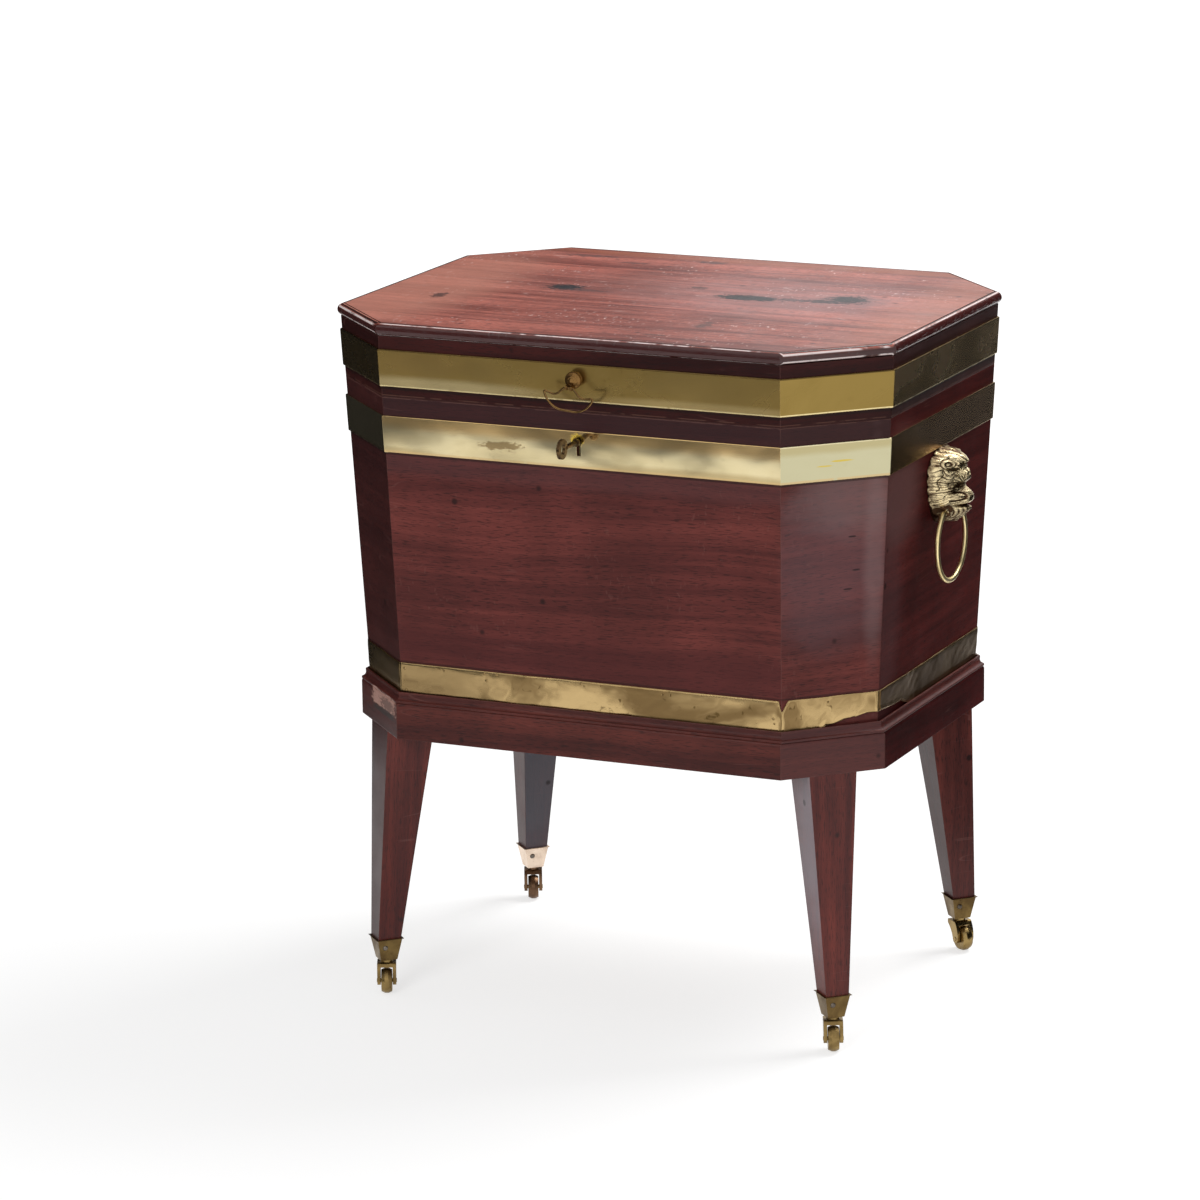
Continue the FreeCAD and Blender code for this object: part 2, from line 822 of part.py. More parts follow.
def build_castor_socket(name, sign_x, sign_y):
    """A tapered square brass cup with a thin flared lip and a bored floor."""
    body = new_body("castor_socket_%s" % name)
    x, y = foot_centre(sign_x, sign_y)
    wall_top = socket_top() - S.lip_thickness
    foot = square(sketch_on(body, "cup_foot_" + name, lift=socket_floor()), S.socket_foot)
    top = square(sketch_on(body, "cup_top_" + name, lift=socket_top()),
                 socket_side(socket_top()))
    loft(body, foot, top)
    lip_low = square(sketch_on(body, "lip_low_" + name, lift=wall_top), socket_side(wall_top))
    lip_top = square(sketch_on(body, "lip_top_" + name, lift=socket_top()),
                     socket_side(socket_top()) + 2 * S.socket_lip)
    loft(body, lip_low, lip_top)
    cup_floor = socket_floor() + S.socket_floor_thickness
    inner_foot = square(sketch_on(body, "hollow_foot_" + name, lift=cup_floor),
                        socket_side(cup_floor) - 2 * S.socket_wall)
    inner_top = square(sketch_on(body, "hollow_top_" + name, lift=socket_top()),
                       socket_side(socket_top()) - 2 * S.socket_wall)
    loft(body, inner_foot, inner_top, cut=True)
    bore = circle(sketch_on(body, "pin_bore_" + name, lift=socket_floor()), 0, 0,
                  S.pin_radius + S.shaft_gap)
    pocket(body, bore, S.socket_floor_thickness, up=True)
    place = castor_screw_place(sign_x, sign_y)
    place.Base = place.Base + place.Rotation.multVec(Vector(0, 0, -3))
    drill(body, "screw_hole_cup_" + name, S.castor_screw_radius, 6.0, place)
    placed(body, x=x, y=y, turn=leg_turn(sign_x, sign_y))


def build_castor_screws():
    """One round-headed screw for each castor socket."""
    screws = []
    for sign_x, sign_y in map(corner_signs, CORNERS):
        radius, head = float(S.castor_screw_radius), float(S.castor_screw_head)
        length = float(S.castor_screw_length)
        shank = Part.makeCylinder(radius, length, Vector(0, 0, -length))
        dome = Part.makeCone(head, 0.65 * head, 0.45 * head)
        screw = shank.fuse(dome).removeSplitter()
        local = castor_screw_place(sign_x, sign_y)
        x, y = foot_centre(sign_x, sign_y)
        outer = Placement(Vector(float(x), float(y), 0), leg_turn(sign_x, sign_y))
        screw.Placement = outer * local
        screws.append(screw)
    part_from_shape("castor_screws", Part.makeCompound(screws))


def fork_side(sketch):
    """Side view of the fork: a crown over the neck, swept back and down to the axle."""
    crown_top = socket_floor() - S.running_gap - S.neck_height
    crown_low = crown_top - S.fork_crown
    half = S.neck_radius + 0.6
    ear = S.axle_radius + 2.6
    trail, axle = S.castor_trail, S.wheel_radius
    corners = [(-half, crown_low), (trail - ear, axle), (trail, axle - ear), (trail + ear, axle),
               (half + 1.5, crown_top - 1.0), (half, crown_top), (-half, crown_top)]
    sweep = S.wheel_radius * 1.75
    return outline(sketch, corners, {0: S.wheel_radius * -2.1, 1: ear, 2: ear, 3: sweep})


def build_castor_fork(name, sign_x, sign_y):
    """A brass horn with two cheeks, its neck and the pin that turns in the socket."""
    body = new_body("castor_fork_%s" % name)
    side = fork_side(sketch_on(body, "fork_side_" + name, "XZ_Plane"))
    pad(body, side, S.fork_width, symmetric=True)
    neck_low = socket_floor() - S.running_gap - S.neck_height
    neck = circle(sketch_on(body, "neck_section_" + name, lift=neck_low), 0, 0, S.neck_radius)
    pad(body, neck, S.neck_height)
    pin = circle(sketch_on(body, "pin_section_" + name, lift=neck_low), 0, 0, S.pin_radius)
    head_low = socket_floor() + S.socket_floor_thickness + S.running_gap
    pad(body, pin, head_low - neck_low + S.pin_head)
    head = circle(sketch_on(body, "pin_head_" + name, lift=head_low), 0, 0, S.pin_head_radius)
    pad(body, head, S.pin_head)
    slot = sketch_on(body, "wheel_slot_" + name, "XZ_Plane")
    slot_top = neck_low - S.fork_crown
    slot_reach = S.wheel_radius * 2
    rectangle(slot, -slot_reach, slot_reach, -S.wheel_radius, slot_top)
    pocket(body, slot, S.fork_width - 2 * S.fork_cheek, symmetric=True)
    bore = circle(sketch_on(body, "axle_bore_" + name, "XZ_Plane"),
                  S.castor_trail, S.wheel_radius, S.axle_radius)
    pocket(body, bore, S.fork_width + 2.0, symmetric=True)
    x, y = foot_centre(sign_x, sign_y)
    placed(body, x=x, y=y, turn=castor_rotation(name, sign_x, sign_y))


def castor_rotation(name, sign_x, sign_y):
    outward = math.degrees(math.atan2(sign_y, sign_x))
    return Rotation(Vector(0, 0, 1), outward + CASTOR_TURN[name])


def build_castor_axle(name, sign_x, sign_y):
    """A plain pin driven through both cheeks, its ends standing a little proud."""
    body = new_body("castor_axle_%s" % name)
    half_length = S.fork_width / 2 + S.axle_head
    pin = circle(sketch_on(body, "axle_section_" + name, lift=-half_length), 0, 0, S.axle_radius)
    pad(body, pin, 2 * half_length)
    place_on_axle(body, name, sign_x, sign_y)


def place_on_axle(body, name, sign_x, sign_y):
    """Lay a turned piece across its castor's fork, on the axle."""
    rotation = castor_rotation(name, sign_x, sign_y)
    centre = rotation.multVec(Vector(float(S.castor_trail), 0, 0))
    direction = (centre.x / centre.Length, centre.y / centre.Length)
    x, y = foot_centre(sign_x, sign_y)
    placed(body, x=x + S.castor_trail * direction[0], y=y + S.castor_trail * direction[1],
           z=S.wheel_radius, turn=rotation * Rotation(Vector(1, 0, 0), 90.0))


def build_castor_wheel(name, sign_x, sign_y):
    """A solid brass wheel with an eased tread."""
    body = new_body("castor_wheel_%s" % name)
    half = S.wheel_width / 2
    bore = S.axle_radius + S.shaft_gap
    shoulder = S.wheel_radius - S.wheel_tread
    flat = half / 3
    profile = sketch_on(body, "wheel_profile_" + name, "XZ_Plane")
    outline(profile, [(bore, -half), (shoulder, -half), (S.wheel_radius, -flat),
                      (S.wheel_radius, flat), (shoulder, half), (bore, half)])
    revolve(body, profile)
    place_on_axle(body, name, sign_x, sign_y)


def build_stand():
    for name in LONG_SIDES:
        build_long_rail(name)
    build_corner_blocks()
    build_moulding()
    for name in CORNERS:
        signs = corner_signs(name)
        build_leg(name, *signs)
        build_castor_socket(name, *signs)
        build_castor_fork(name, *signs)
        build_castor_axle(name, *signs)
        build_castor_wheel(name, *signs)
    build_castor_screws()


# ------------------------------------------------------------------ the chest


def key_axis():
    """The height of the key and of the round eye of the keyhole."""
    return joint() - S.key_drop


def mask_middle():
    return joint() - S.mask_drop


def ring_pivot_level():
    return mask_middle() - S.ring_pivot_drop


def boss_level():
    """The height of the lid's handle, a little above the middle of the lid's band."""
    return joint() + S.lid_band_rise + S.band_height / 2 + S.boss_rise


def lock_foot():
    """The underside of the lock case, which the turning key's bit has to clear."""
    return key_axis() - S.key_bit_radius - S.lock_bit_room - S.lock_plate


def lock_half():
    """Half the lock case's width: the bolt's longer end, its room and the case's wall."""
    return -bolt_left() + S.lock_side_room + S.lock_plate


def lock_front():
    """y of the lock case's outer face, parallel to the front and inside its board."""
    return front_face(joint()) + S.lock_setback


def keyhole_cut(inset):
    """A keyhole through the front, from a round eye down along a narrow slot."""
    span = (front_face(key_axis(), inset), lock_front() + S.lock_case / 2)
    depth = float(span[1] - span[0])
    eye = Part.makeCylinder(float(S.keyhole_radius), depth,
                            Vector(0, float(span[0]), float(key_axis())), Vector(0, 1, 0))
    half = S.keyhole_slot / 2
    slot = box_between((-half, half), span, (key_axis() - S.keyhole_drop, key_axis()))
    return eye.fuse(slot).removeSplitter()


def lock_recess():
    """The mortise for the lock case in the front board's inner face."""
    half = lock_half()
    inner = front_face(lock_foot(), S.chest_board) + 2.0
    return box_between((-half, half), (lock_front(), inner), (lock_foot(), joint() + 1))


def hinge_axis():
    """y and z of the hinges' pins: just behind the back face, level with the joint."""
    return (-front_face(joint()) + S.hinge_knuckle_radius,
            joint() + S.running_gap / 2)


def hinge_pitch():
    """The distance between the hinges' middles, each a margin in from its end of the board."""
    return S.chest_width - 2 * S.chest_cant - S.hinge_length - 2 * S.hinge_margin


def hinge_recess(low, high):
    """Seats for both hinges' leaves in a board's edge, with room for the knuckles."""
    axis_y, axis_z = hinge_axis()
    half = S.hinge_length / 2 + S.running_gap / 2
    back = axis_y
    front = axis_y - S.hinge_knuckle_radius - S.hinge_leaf_width
    seats = []
    for sign in (-1, 1):
        middle = sign * hinge_pitch() / 2
        span = (middle - half, middle + half)
        seats.append(box_between(span, (front, back), (low, high)))
        seats.append(Part.makeCylinder(
            float(S.hinge_knuckle_radius + S.running_gap), float(2 * half),
            Vector(float(span[0]), float(axis_y), float(axis_z)), Vector(1, 0, 0)))
    return seats[0].multiFuse(seats[1:])


def mask_hole(sign):
    """The hole for a mask's stud through a side board, with a seat for its nut."""
    board = float(S.chest_board)
    inner_seat = board - float(S.mask_nut) - 1.0
    stud = Part.makeCylinder(float(S.mask_stud_radius), 3 * board, Vector(-2 * board, 0, 0),
                             Vector(1, 0, 0))
    seat = Part.makeCylinder(float(S.mask_nut_radius) + 0.5, board,
                             Vector(-board - inner_seat, 0, 0), Vector(1, 0, 0))
    hole = stud.fuse(seat)
    hole.Placement = mask_place(sign)
    return hole


def mask_place(sign):
    """The frame of a mask: x outwards from the side's face, z up along it."""
    x = float(side_face(mask_middle()))
    tilt = Rotation(Vector(0, 1, 0), lean_angle())
    turn = Rotation(Vector(0, 0, 1), 0 if sign > 0 else 180) * tilt
    return Placement(Vector(sign * x, 0, float(mask_middle())), turn)


def build_chest_boards():
    """Four long boards and four canted ones, mitred together, all leaning outwards."""
    low, high = chest_foot(), joint()
    for name in LONG_SIDES:
        board = mitred_board(chest_plan, long_side(name), low, high, 0, S.chest_board)
        if name == "front":
            board = board.cut(lock_recess()).cut(keyhole_cut(-1))
        if name == "back":
            board = board.cut(hinge_recess(high - S.hinge_leaf, high + 1))
        if name == "right":
            board = board.cut(mask_hole(1))
        if name == "left":
            board = board.cut(mask_hole(-1))
        part_from_shape("chest_%s_board" % name, board)
    corners = [mitred_board(chest_plan, side, low, high, 0, S.chest_board)
               for side in corner_sides()]
    part_from_shape("chest_corner_boards", Part.makeCompound(corners))


def build_bottom_board():
    low = chest_foot()
    high = low + S.bottom_board
    board = frustum(chest_plan(low, S.chest_board), chest_plan(high, S.chest_board))
    part_from_shape("chest_bottom_board", board)


def brass_band(low, high):
    """A brass band with softened outer edges, lying flat on the boards."""
    band = ring_wall(chest_plan, low, high, -S.band_thickness, 0)
    outer_edges = []
    for edge in band.Edges:
        middle = edge.CenterOfMass
        for z in (low, high):
            outer = chest_plan(z, -S.band_thickness)
            on_level = abs(middle.z - float(z)) < 1e-3
            sides = [(outer[side] + outer[(side + 1) % 8]) * 0.5 for side in range(8)]
            if on_level and min(middle.distanceToPoint(point) for point in sides) < 1e-3:
                outer_edges.append(edge)
    return band.makeChamfer(float(S.band_edge), outer_edges)


def build_chest_bands():
    high = joint() - S.upper_band_drop
    upper = brass_band(high - S.band_height, high)
    upper = upper.cut(keyhole_cut(-S.band_thickness - 1))
    part_from_shape("chest_upper_band", upper)
    low = S.stand_height + S.lower_band_rise
    part_from_shape("chest_lower_band", brass_band(low, low + S.lower_band_height))


def liner_floor():
    return chest_foot() + S.bottom_board + S.liner_sheet


def build_liner():
    """A tray of folded sheet lead, close against the boards."""
    low = chest_foot() + S.bottom_board
    high = joint() - S.liner_drop
    inner = S.chest_board + S.liner_sheet
    outside = frustum(chest_plan(low, S.chest_board), chest_plan(high, S.chest_board))
    inside = frustum(chest_plan(liner_floor(), inner), chest_plan(high + 1, inner))
    part_from_shape("lead_liner", outside.cut(inside))


def divider_body(label, half_width_at, centres, plane):
    """Thin boards with ends that follow the leaning walls, half-lapped where they cross.

    half_width_at gives half the inside span at a height; the laps of the long boards are
    cut down from the top and those of the cross boards up from the foot.
    """
    low = liner_floor() + S.divider_play
    high = low + S.divider_height
    along_x = plane == "XZ_Plane"
    crossing = cross_steps() if along_x else long_steps()
    pitch = S.cross_divider_pitch if along_x else S.long_divider_pitch
    lap_low, lap_high = (low + S.divider_height / 2, high) if along_x else (
        low, low + S.divider_height / 2)
    boards = []
    for centre in centres:
        half_low, half_high = float(half_width_at(low)), float(half_width_at(high))
        corners = [(-half_low, low), (half_low, low), (half_high, high), (-half_high, high)]
        half_board = float(S.divider_board / 2)
        if along_x:
            points = [Vector(x, float(centre) - half_board, float(z)) for x, z in corners]
            thickness = Vector(0, 2 * half_board, 0)
        else:
            points = [Vector(float(centre) - half_board, y, float(z)) for y, z in corners]
            thickness = Vector(2 * half_board, 0, 0)
        board = Part.Face(Part.makePolygon(points + points[:1])).extrude(thickness)
        for step in crossing:
            middle = float(step * pitch)
            slot = (middle - half_board - 0.1, middle + half_board + 0.1)
            across = (float(centre) - 10, float(centre) + 10)
            spans = (slot, across) if along_x else (across, slot)
            board = board.cut(box_between(spans[0], spans[1],
                                          (lap_low - 0.1, lap_high + 0.1)))
        boards.append(board)
    part_from_shape(label, Part.makeCompound(boards))


def long_steps():
    """Where the long dividers stand, counted in pitches from the middle."""
    return -0.5, 0.5


def cross_steps():
    """Where the cross dividers stand, counted in pitches from the middle."""
    return -1, 0, 1


def build_dividers():
    """Two long boards and three cross boards make twelve compartments."""
    inner = S.chest_board + S.liner_sheet + S.divider_play

    def half_inside_width(z):
        return side_face(z, inner)

    def half_inside_depth(z):
        return -front_face(z, inner)

    divider_body("long_dividers", half_inside_width,
                 [step * S.long_divider_pitch for step in long_steps()], "XZ_Plane")
    divider_body("cross_dividers", half_inside_depth,
                 [step * S.cross_divider_pitch for step in cross_steps()], "YZ_Plane")


# ------------------------------------------------------------------ the lock and its key


def staple_spans():
    """The x spans of the link plate's two staples."""
    half = S.staple_width / 2
    return [(sign * S.staple_pitch / 2 - half, sign * S.staple_pitch / 2 + half)
            for sign in (-1, 1)]


def bolt_middle():
    """y of the middle of the bolt, the staples and the key's bit."""
    return lock_front() + S.lock_case / 2 + S.lock_plate / 2 - 0.2


def build_lock_case():
    """A shallow case with the bolt's chamber, slots for the staples and the key's hole."""
    half = lock_half()
    front, back = lock_front(), lock_front() + S.lock_case
    low, high = lock_foot(), joint()
    wall = S.lock_plate
    case = box_between((-half, half), (front, back), (low, high))
    case = case.cut(box_between((wall - half, half - wall), (front + wall, back - wall),
                                (low + wall, high - wall)))
    for span in staple_spans():
        slot_y = (bolt_middle() - S.staple_depth / 2 - 0.8, bolt_middle() + S.staple_depth / 2 + 0.8)
        case = case.cut(box_between((span[0] - 0.8, span[1] + 0.8), slot_y,
                                    (high - wall - 1, high + 1)))
    hole = Part.makeCylinder(float(S.key_shank_radius + S.shaft_gap), float(wall + 1),
                             Vector(0, float(front) - 0.5, float(key_axis())), Vector(0, 1, 0))
    half_slot = S.key_bit_thickness / 2 + 0.3
    slot = box_between((-half_slot, half_slot), (front - 1, front + wall + 0.2),
                       (key_axis() - S.key_bit_radius - 0.4, key_axis()))
    part_from_shape("lock_case", case.cut(hole).cut(slot))


def bolt_left():
    """x of the bolt's left end: behind the left staple, with room for its throw."""
    play, post = 0.5, 3.0
    return staple_spans()[0][0] - play - S.bolt_throw - play - post


def build_lock_bolt():
    """A sliding plate with two fingers, notched below for the key's bit."""
    middle = bolt_middle()
    y = (middle - S.bolt_plate / 2, middle + S.bolt_plate / 2)
    low = key_axis() + S.bolt_lift
    high = low + S.bolt_height
    finger_low, finger_high = high + 2.8, high + 6.8
    play = 0.5
    pieces = []
    for span in staple_spans():
        tip = span[0] - play
        post_edge = tip - S.bolt_throw - play
        pieces.append(box_between((post_edge - 3.0, post_edge), y, (high, finger_high)))
        pieces.append(box_between((post_edge, tip), y, (finger_low, finger_high)))
    right = staple_spans()[1][0] + 3.0
    bar = box_between((bolt_left(), right), y, (low, high))
    reach = S.key_bit_radius
    notch = box_between((-reach - 4.0, -reach + S.bolt_throw + 0.5), (y[0] - 1, y[1] + 1),
                        (low - 1, key_axis() + reach + 0.8))
    part_from_shape("lock_bolt", bar.multiFuse(pieces).removeSplitter().cut(notch))


def build_key():
    """A turned shank with a flat ring for a bow, and a bit that hangs down inside the lock."""
    body = new_body("key")
    front = front_face(key_axis()) - S.band_thickness
    bow_centre = front - S.key_reach + S.key_bow_radius
    tip = bolt_middle() + S.key_bit_width / 2
    bow = sketch_on(body, "key_bow_section", "YZ_Plane")
    circle(bow, bow_centre, 0, S.key_bow_radius)
    circle(bow, bow_centre, 0, S.key_bow_hole)
    pad(body, bow, S.key_bow_thickness, symmetric=True)
    start = bow_centre + S.key_bow_radius - 1.2
    radius = S.key_shank_radius
    collar = front - 6.0
    shank = sketch_on(body, "key_shank_profile", "YZ_Plane")
    outline(shank, [(start, 0), (tip, 0), (tip, radius), (collar + 2.4, radius),
                    (collar + 2.4, radius * 1.5), (collar, radius * 1.5), (collar, radius),
                    (start, radius)])
    revolve(body, shank, "H_Axis")
    bit = sketch_on(body, "key_bit_section", "YZ_Plane")
    rectangle(bit, bolt_middle() - S.key_bit_width / 2, tip, -S.key_bit_radius, Size(0.0))
    pad(body, bit, S.key_bit_thickness, symmetric=True)
    placed(body, z=key_axis())


# ------------------------------------------------------------------ the lion masks and rings


def mask_outline(sketch):
    """A mane that is wide at the brow and narrow at the chin: one outward arc for each lock."""
    half_width, half_length = S.mask_width / 2, S.mask_length / 2
    shares = [(0.37, -0.92), (0.54, -0.60), (0.78, -0.24), (0.95, 0.16),
              (0.99, 0.56), (0.80, 0.84), (0.36, 0.96)]
    right = [(half_width * across, half_length * up) for across, up in shares]
    corners = right + [(-across, up) for across, up in reversed(right)]
    bulges = {}
    for number, (across, up) in enumerate(corners):
        after = corners[(number + 1) % len(corners)]
        chord = math.hypot(float(after[0] - across), float(after[1] - up))
        bulges[number] = S.mask_length * (0.75 * chord / float(S.mask_length))
    return outline(sketch, corners, bulges)


def mane_section(sketch, share):
    """A twelve-sided section of the swelling mane, smaller towards the face."""
    corners = []
    for number in range(12):
        angle = math.pi / 6 * (number - 2.5)
        corners.append((S.mask_width / 2 * share * math.cos(angle),
                        S.mask_length / 2 * share * math.sin(angle) + S.mask_length * 0.05))
    return outline(sketch, corners)


def add_ellipsoid(body, name, centre, radii):
    """A rounded form of the mask: centre and radii out, across and up, as shares of its length."""
    form = body.newObject("PartDesign::AdditiveEllipsoid", name)
    attach(form, body)
    size = float(S.mask_length)
    form.AttachmentOffset = Placement(Vector(*centre) * size, Rotation())
    bind(form, "Radius2", S.mask_length * radii[0])
    bind(form, "Radius3", S.mask_length * radii[1])
    bind(form, "Radius1", S.mask_length * radii[2])
    return form


def build_mask(name, sign):
    """A lion's head in relief, with bored jaws for the ring and a stud behind."""
    body = new_body("lion_mask_%s" % name)
    plate = mask_outline(sketch_on(body, "mane_outline_" + name, "YZ_Plane"))
    pad(body, plate, S.mask_plate)
    low = mane_section(sketch_on(body, "mane_foot_" + name, "YZ_Plane", lift=S.mask_plate), 0.84)
    top = mane_section(sketch_on(body, "mane_top_" + name, "YZ_Plane", lift=S.mask_swell), 0.50)
    loft(body, low, top)
    add_ellipsoid(body, "face_" + name, (0.17, 0, -0.10), (0.23, 0.23, 0.33))
    add_ellipsoid(body, "brow_" + name, (0.26, 0, 0.12), (0.12, 0.20, 0.072))
    add_ellipsoid(body, "nose_" + name, (0.33, 0, -0.043), (0.14, 0.064, 0.145))
    add_ellipsoid(body, "muzzle_" + name, (0.35, 0, -0.17), (0.14, 0.167, 0.094))
    add_ellipsoid(body, "chin_" + name, (0.27, 0, -0.36), (0.12, 0.116, 0.087))
    pivot_x, pivot_z = ring_pivot_in_mask()
    jaw = circle(sketch_on(body, "jaw_" + name, "XZ_Plane"), pivot_x, pivot_z,
                 S.ring_wire + 3.4)
    pad(body, jaw, S.jaw_width, symmetric=True)
    for side in (-1, 1):
        bore_start = side * (S.jaw_width / 2 + 0.5)
        bore = sketch_on(body, "ring_bore_%s_%s" % (name, "front" if side < 0 else "back"),
                         "XZ_Plane", lift=-bore_start)
        circle(bore, pivot_x, pivot_z, S.ring_wire + S.shaft_gap)
        pocket(body, bore, S.ring_peg + 1.0, up=side > 0)
    back = sketch_on(body, "mask_back_" + name, "YZ_Plane")
    rectangle(back, -S.mask_width, S.mask_width, -S.mask_length, S.mask_length)
    pocket(body, back, S.mask_width)
    stud = circle(sketch_on(body, "stud_" + name, "YZ_Plane"), 0, 0, S.mask_stud_radius)
    pad(body, stud, S.chest_board - 1.0, down=True)
    place = mask_place(sign)
    placed(body, x=place.Base.x, z=mask_middle(), turn=place.Rotation)


def ring_pivot():
    """x and z of the right ring's pivot, in front of the side's face."""
    return side_face(ring_pivot_level()) + S.ring_pivot_reach, ring_pivot_level()


def ring_drop():
    """How far the ring's middle hangs below its pivot, so that its shoulders clear the jaws."""
    shoulder = float(S.jaw_width / 2 + S.ring_clear)
    reach = float(S.ring_radius - S.ring_curl)
    return S.ring_curl + math.sqrt(reach * reach - shoulder * shoulder)


def ring_pivot_in_mask():
    """The ring's pivot in the mask's own tilted frame."""
    x, z = ring_pivot()
    offset = Vector(float(x - side_face(mask_middle())), 0, float(z - mask_middle()))
    local = Rotation(Vector(0, 1, 0), lean_angle()).inverted().multVec(offset)
    return local.x, local.z


def build_ring(name, sign):
    """A round ring whose ends curl in to two pegs, held in the lion's jaws."""
    x, z = ring_pivot()
    radius, drop, curl = float(S.ring_radius), float(ring_drop()), float(S.ring_curl)
    centre_y = math.sqrt((radius - curl) ** 2 - (drop - curl) ** 2)
    peg = float(S.jaw_width / 2 - S.ring_peg)
    touch = Vector(0, centre_y, drop - curl).normalize() * radius
    shoulder = Vector(0, centre_y, drop)
    curl_centre = Vector(0, centre_y, drop - curl)
    outward = (touch - curl_centre).normalize() + Vector(0, 0, 1)
    curl_crest = curl_centre + outward.normalize() * curl
    mirrored = [Vector(0, -point.y, point.z) for point in (touch, curl_crest, shoulder)]
    edges = [Part.LineSegment(Vector(0, peg, drop), shoulder).toShape(),
             Part.Arc(shoulder, curl_crest, touch).toShape(),
             Part.Arc(touch, Vector(0, 0, -radius), mirrored[0]).toShape(),
             Part.Arc(mirrored[0], mirrored[1], mirrored[2]).toShape(),
             Part.LineSegment(mirrored[2], Vector(0, -peg, drop)).toShape()]
    ring = wire_along(Part.Wire(edges), float(S.ring_wire), 12)
    part_from_shape("ring_%s" % name, ring, x=sign * x, z=z - ring_drop())


def build_mask_nuts():
    """A square nut on each mask's stud, sunk into the side board's inner face."""
    nuts = []
    half = S.mask_nut_radius * 0.7
    for sign in (-1, 1):
        start = -float(S.chest_board) + 1.0
        nut = box_between((start, start + S.mask_nut), (-half, half), (-half, half))
        bore = Part.makeCylinder(float(S.mask_stud_radius), float(S.mask_nut),
                                 Vector(start, 0, 0), Vector(1, 0, 0))
        nut = nut.cut(bore)
        nut.Placement = mask_place(sign)
        nuts.append(nut)
    part_from_shape("mask_nuts", Part.makeCompound(nuts))


# ------------------------------------------------------------------ the hinges


def knuckle_spans(numbers):
    """x spans of the chosen knuckles out of three, from the hinge's middle."""
    pitch = S.hinge_length / 3
    start = -S.hinge_length / 2
    return [(start + pitch * number + S.knuckle_play / 2,
             start + pitch * (number + 1) - S.knuckle_play / 2) for number in numbers]


def hinge_leaf(numbers, low, high):
    """One leaf with its knuckles, about the middle of its length."""
    axis_y, axis_z = hinge_axis()
    half = S.hinge_length / 2
    front = axis_y - S.hinge_knuckle_radius - S.hinge_leaf_width
    edge = axis_y - S.hinge_knuckle_radius - S.running_gap
    pieces = [box_between((-half, half), (front, edge), (low, high))]
    for span in knuckle_spans(numbers):
        length = float(span[1] - span[0])
        pieces.append(Part.makeCylinder(
            float(S.hinge_knuckle_radius), length,
            Vector(float(span[0]), float(axis_y), float(axis_z)), Vector(1, 0, 0)))
        pieces.append(box_between(span, (edge, axis_y), (low, high)))
    leaf = pieces[0].multiFuse(pieces[1:])
    bore = Part.makeCylinder(
        float(S.hinge_pin_radius + S.shaft_gap), float(S.hinge_length) + 2,
        Vector(-float(half) - 1, float(axis_y), float(axis_z)), Vector(1, 0, 0))
    return leaf.removeSplitter().cut(bore)


def at_both_hinges(shape):
    """Copies of a shape at the left and the right hinge."""
    copies = []
    for sign in (-1, 1):
        copy = shape.copy()
        copy.translate(Vector(sign * float(hinge_pitch()) / 2, 0, 0))
        copies.append(copy)
    return Part.makeCompound(copies)


def build_hinges():
    low, high = joint(), lid_foot()
    chest_leaf = hinge_leaf((0, 2), low - S.hinge_leaf, low)
    lid_leaf = hinge_leaf((1,), high, high + S.hinge_leaf)
    part_from_shape("chest_hinge_leaves", at_both_hinges(chest_leaf))
    part_from_shape("lid_hinge_leaves", at_both_hinges(lid_leaf))
    axis_y, axis_z = hinge_axis()
    pin = Part.makeCylinder(
        float(S.hinge_pin_radius), float(S.hinge_length),
        Vector(-float(S.hinge_length) / 2, float(axis_y), float(axis_z)), Vector(1, 0, 0))
    part_from_shape("hinge_pins", at_both_hinges(pin))


# ------------------------------------------------------------------ the lid


def link_plate_recess():
    half = S.link_plate_length / 2
    y = (bolt_middle() - S.link_plate_width / 2, bolt_middle() + S.link_plate_width / 2)
    return box_between((-half, half), y, (lid_foot(), lid_foot() + S.link_plate))


def boss_place():
    """The frame of the lid's handle: x outwards from the band's face, z up along it."""
    tilt = Rotation(Vector(0, 1, 0), lean_angle()) * Rotation(Vector(1, 0, 0), -BOSS_TURN)
    turn = Rotation(Vector(0, 0, 1), -90) * tilt
    face = front_face(boss_level(), -S.band_thickness)
    return Placement(Vector(0, float(face), float(boss_level())), turn)


def boss_hole():
    board = float(S.lid_board)
    hole = Part.makeCylinder(float(S.boss_shank_radius), 3 * board, Vector(-2 * board, 0, 0),
                             Vector(1, 0, 0))
    hole.Placement = boss_place()
    return hole


def build_lid_boards():
    low, high = lid_foot(), lid_underside()
    for name in LONG_SIDES:
        board = mitred_board(chest_plan, long_side(name), low, high, 0, S.lid_board)
        if name == "front":
            board = board.cut(link_plate_recess()).cut(boss_hole())
        if name == "back":
            board = board.cut(hinge_recess(low - 1, low + S.hinge_leaf))
        part_from_shape("lid_%s_board" % name, board)
    corners = [mitred_board(chest_plan, side, low, high, 0, S.lid_board)
               for side in corner_sides()]
    part_from_shape("lid_corner_boards", Part.makeCompound(corners))


def plan_sketch(body, name, lift, half_width, half_depth, cant):
    """A sketch of the eight-sided plan, with every corner tied to the spreadsheet."""
    sketch = sketch_on(body, name, lift=lift)
    return plan_outline(sketch, half_width, half_depth, cant)


def plan_outline(sketch, half_width, half_depth, cant):
    w, d, c = half_width, half_depth, cant
    return outline(sketch, [(c - w, -d), (w - c, -d), (w, c - d), (w, d - c),
                            (w - c, d), (c - w, d), (-w, d - c), (-w, c - d)])


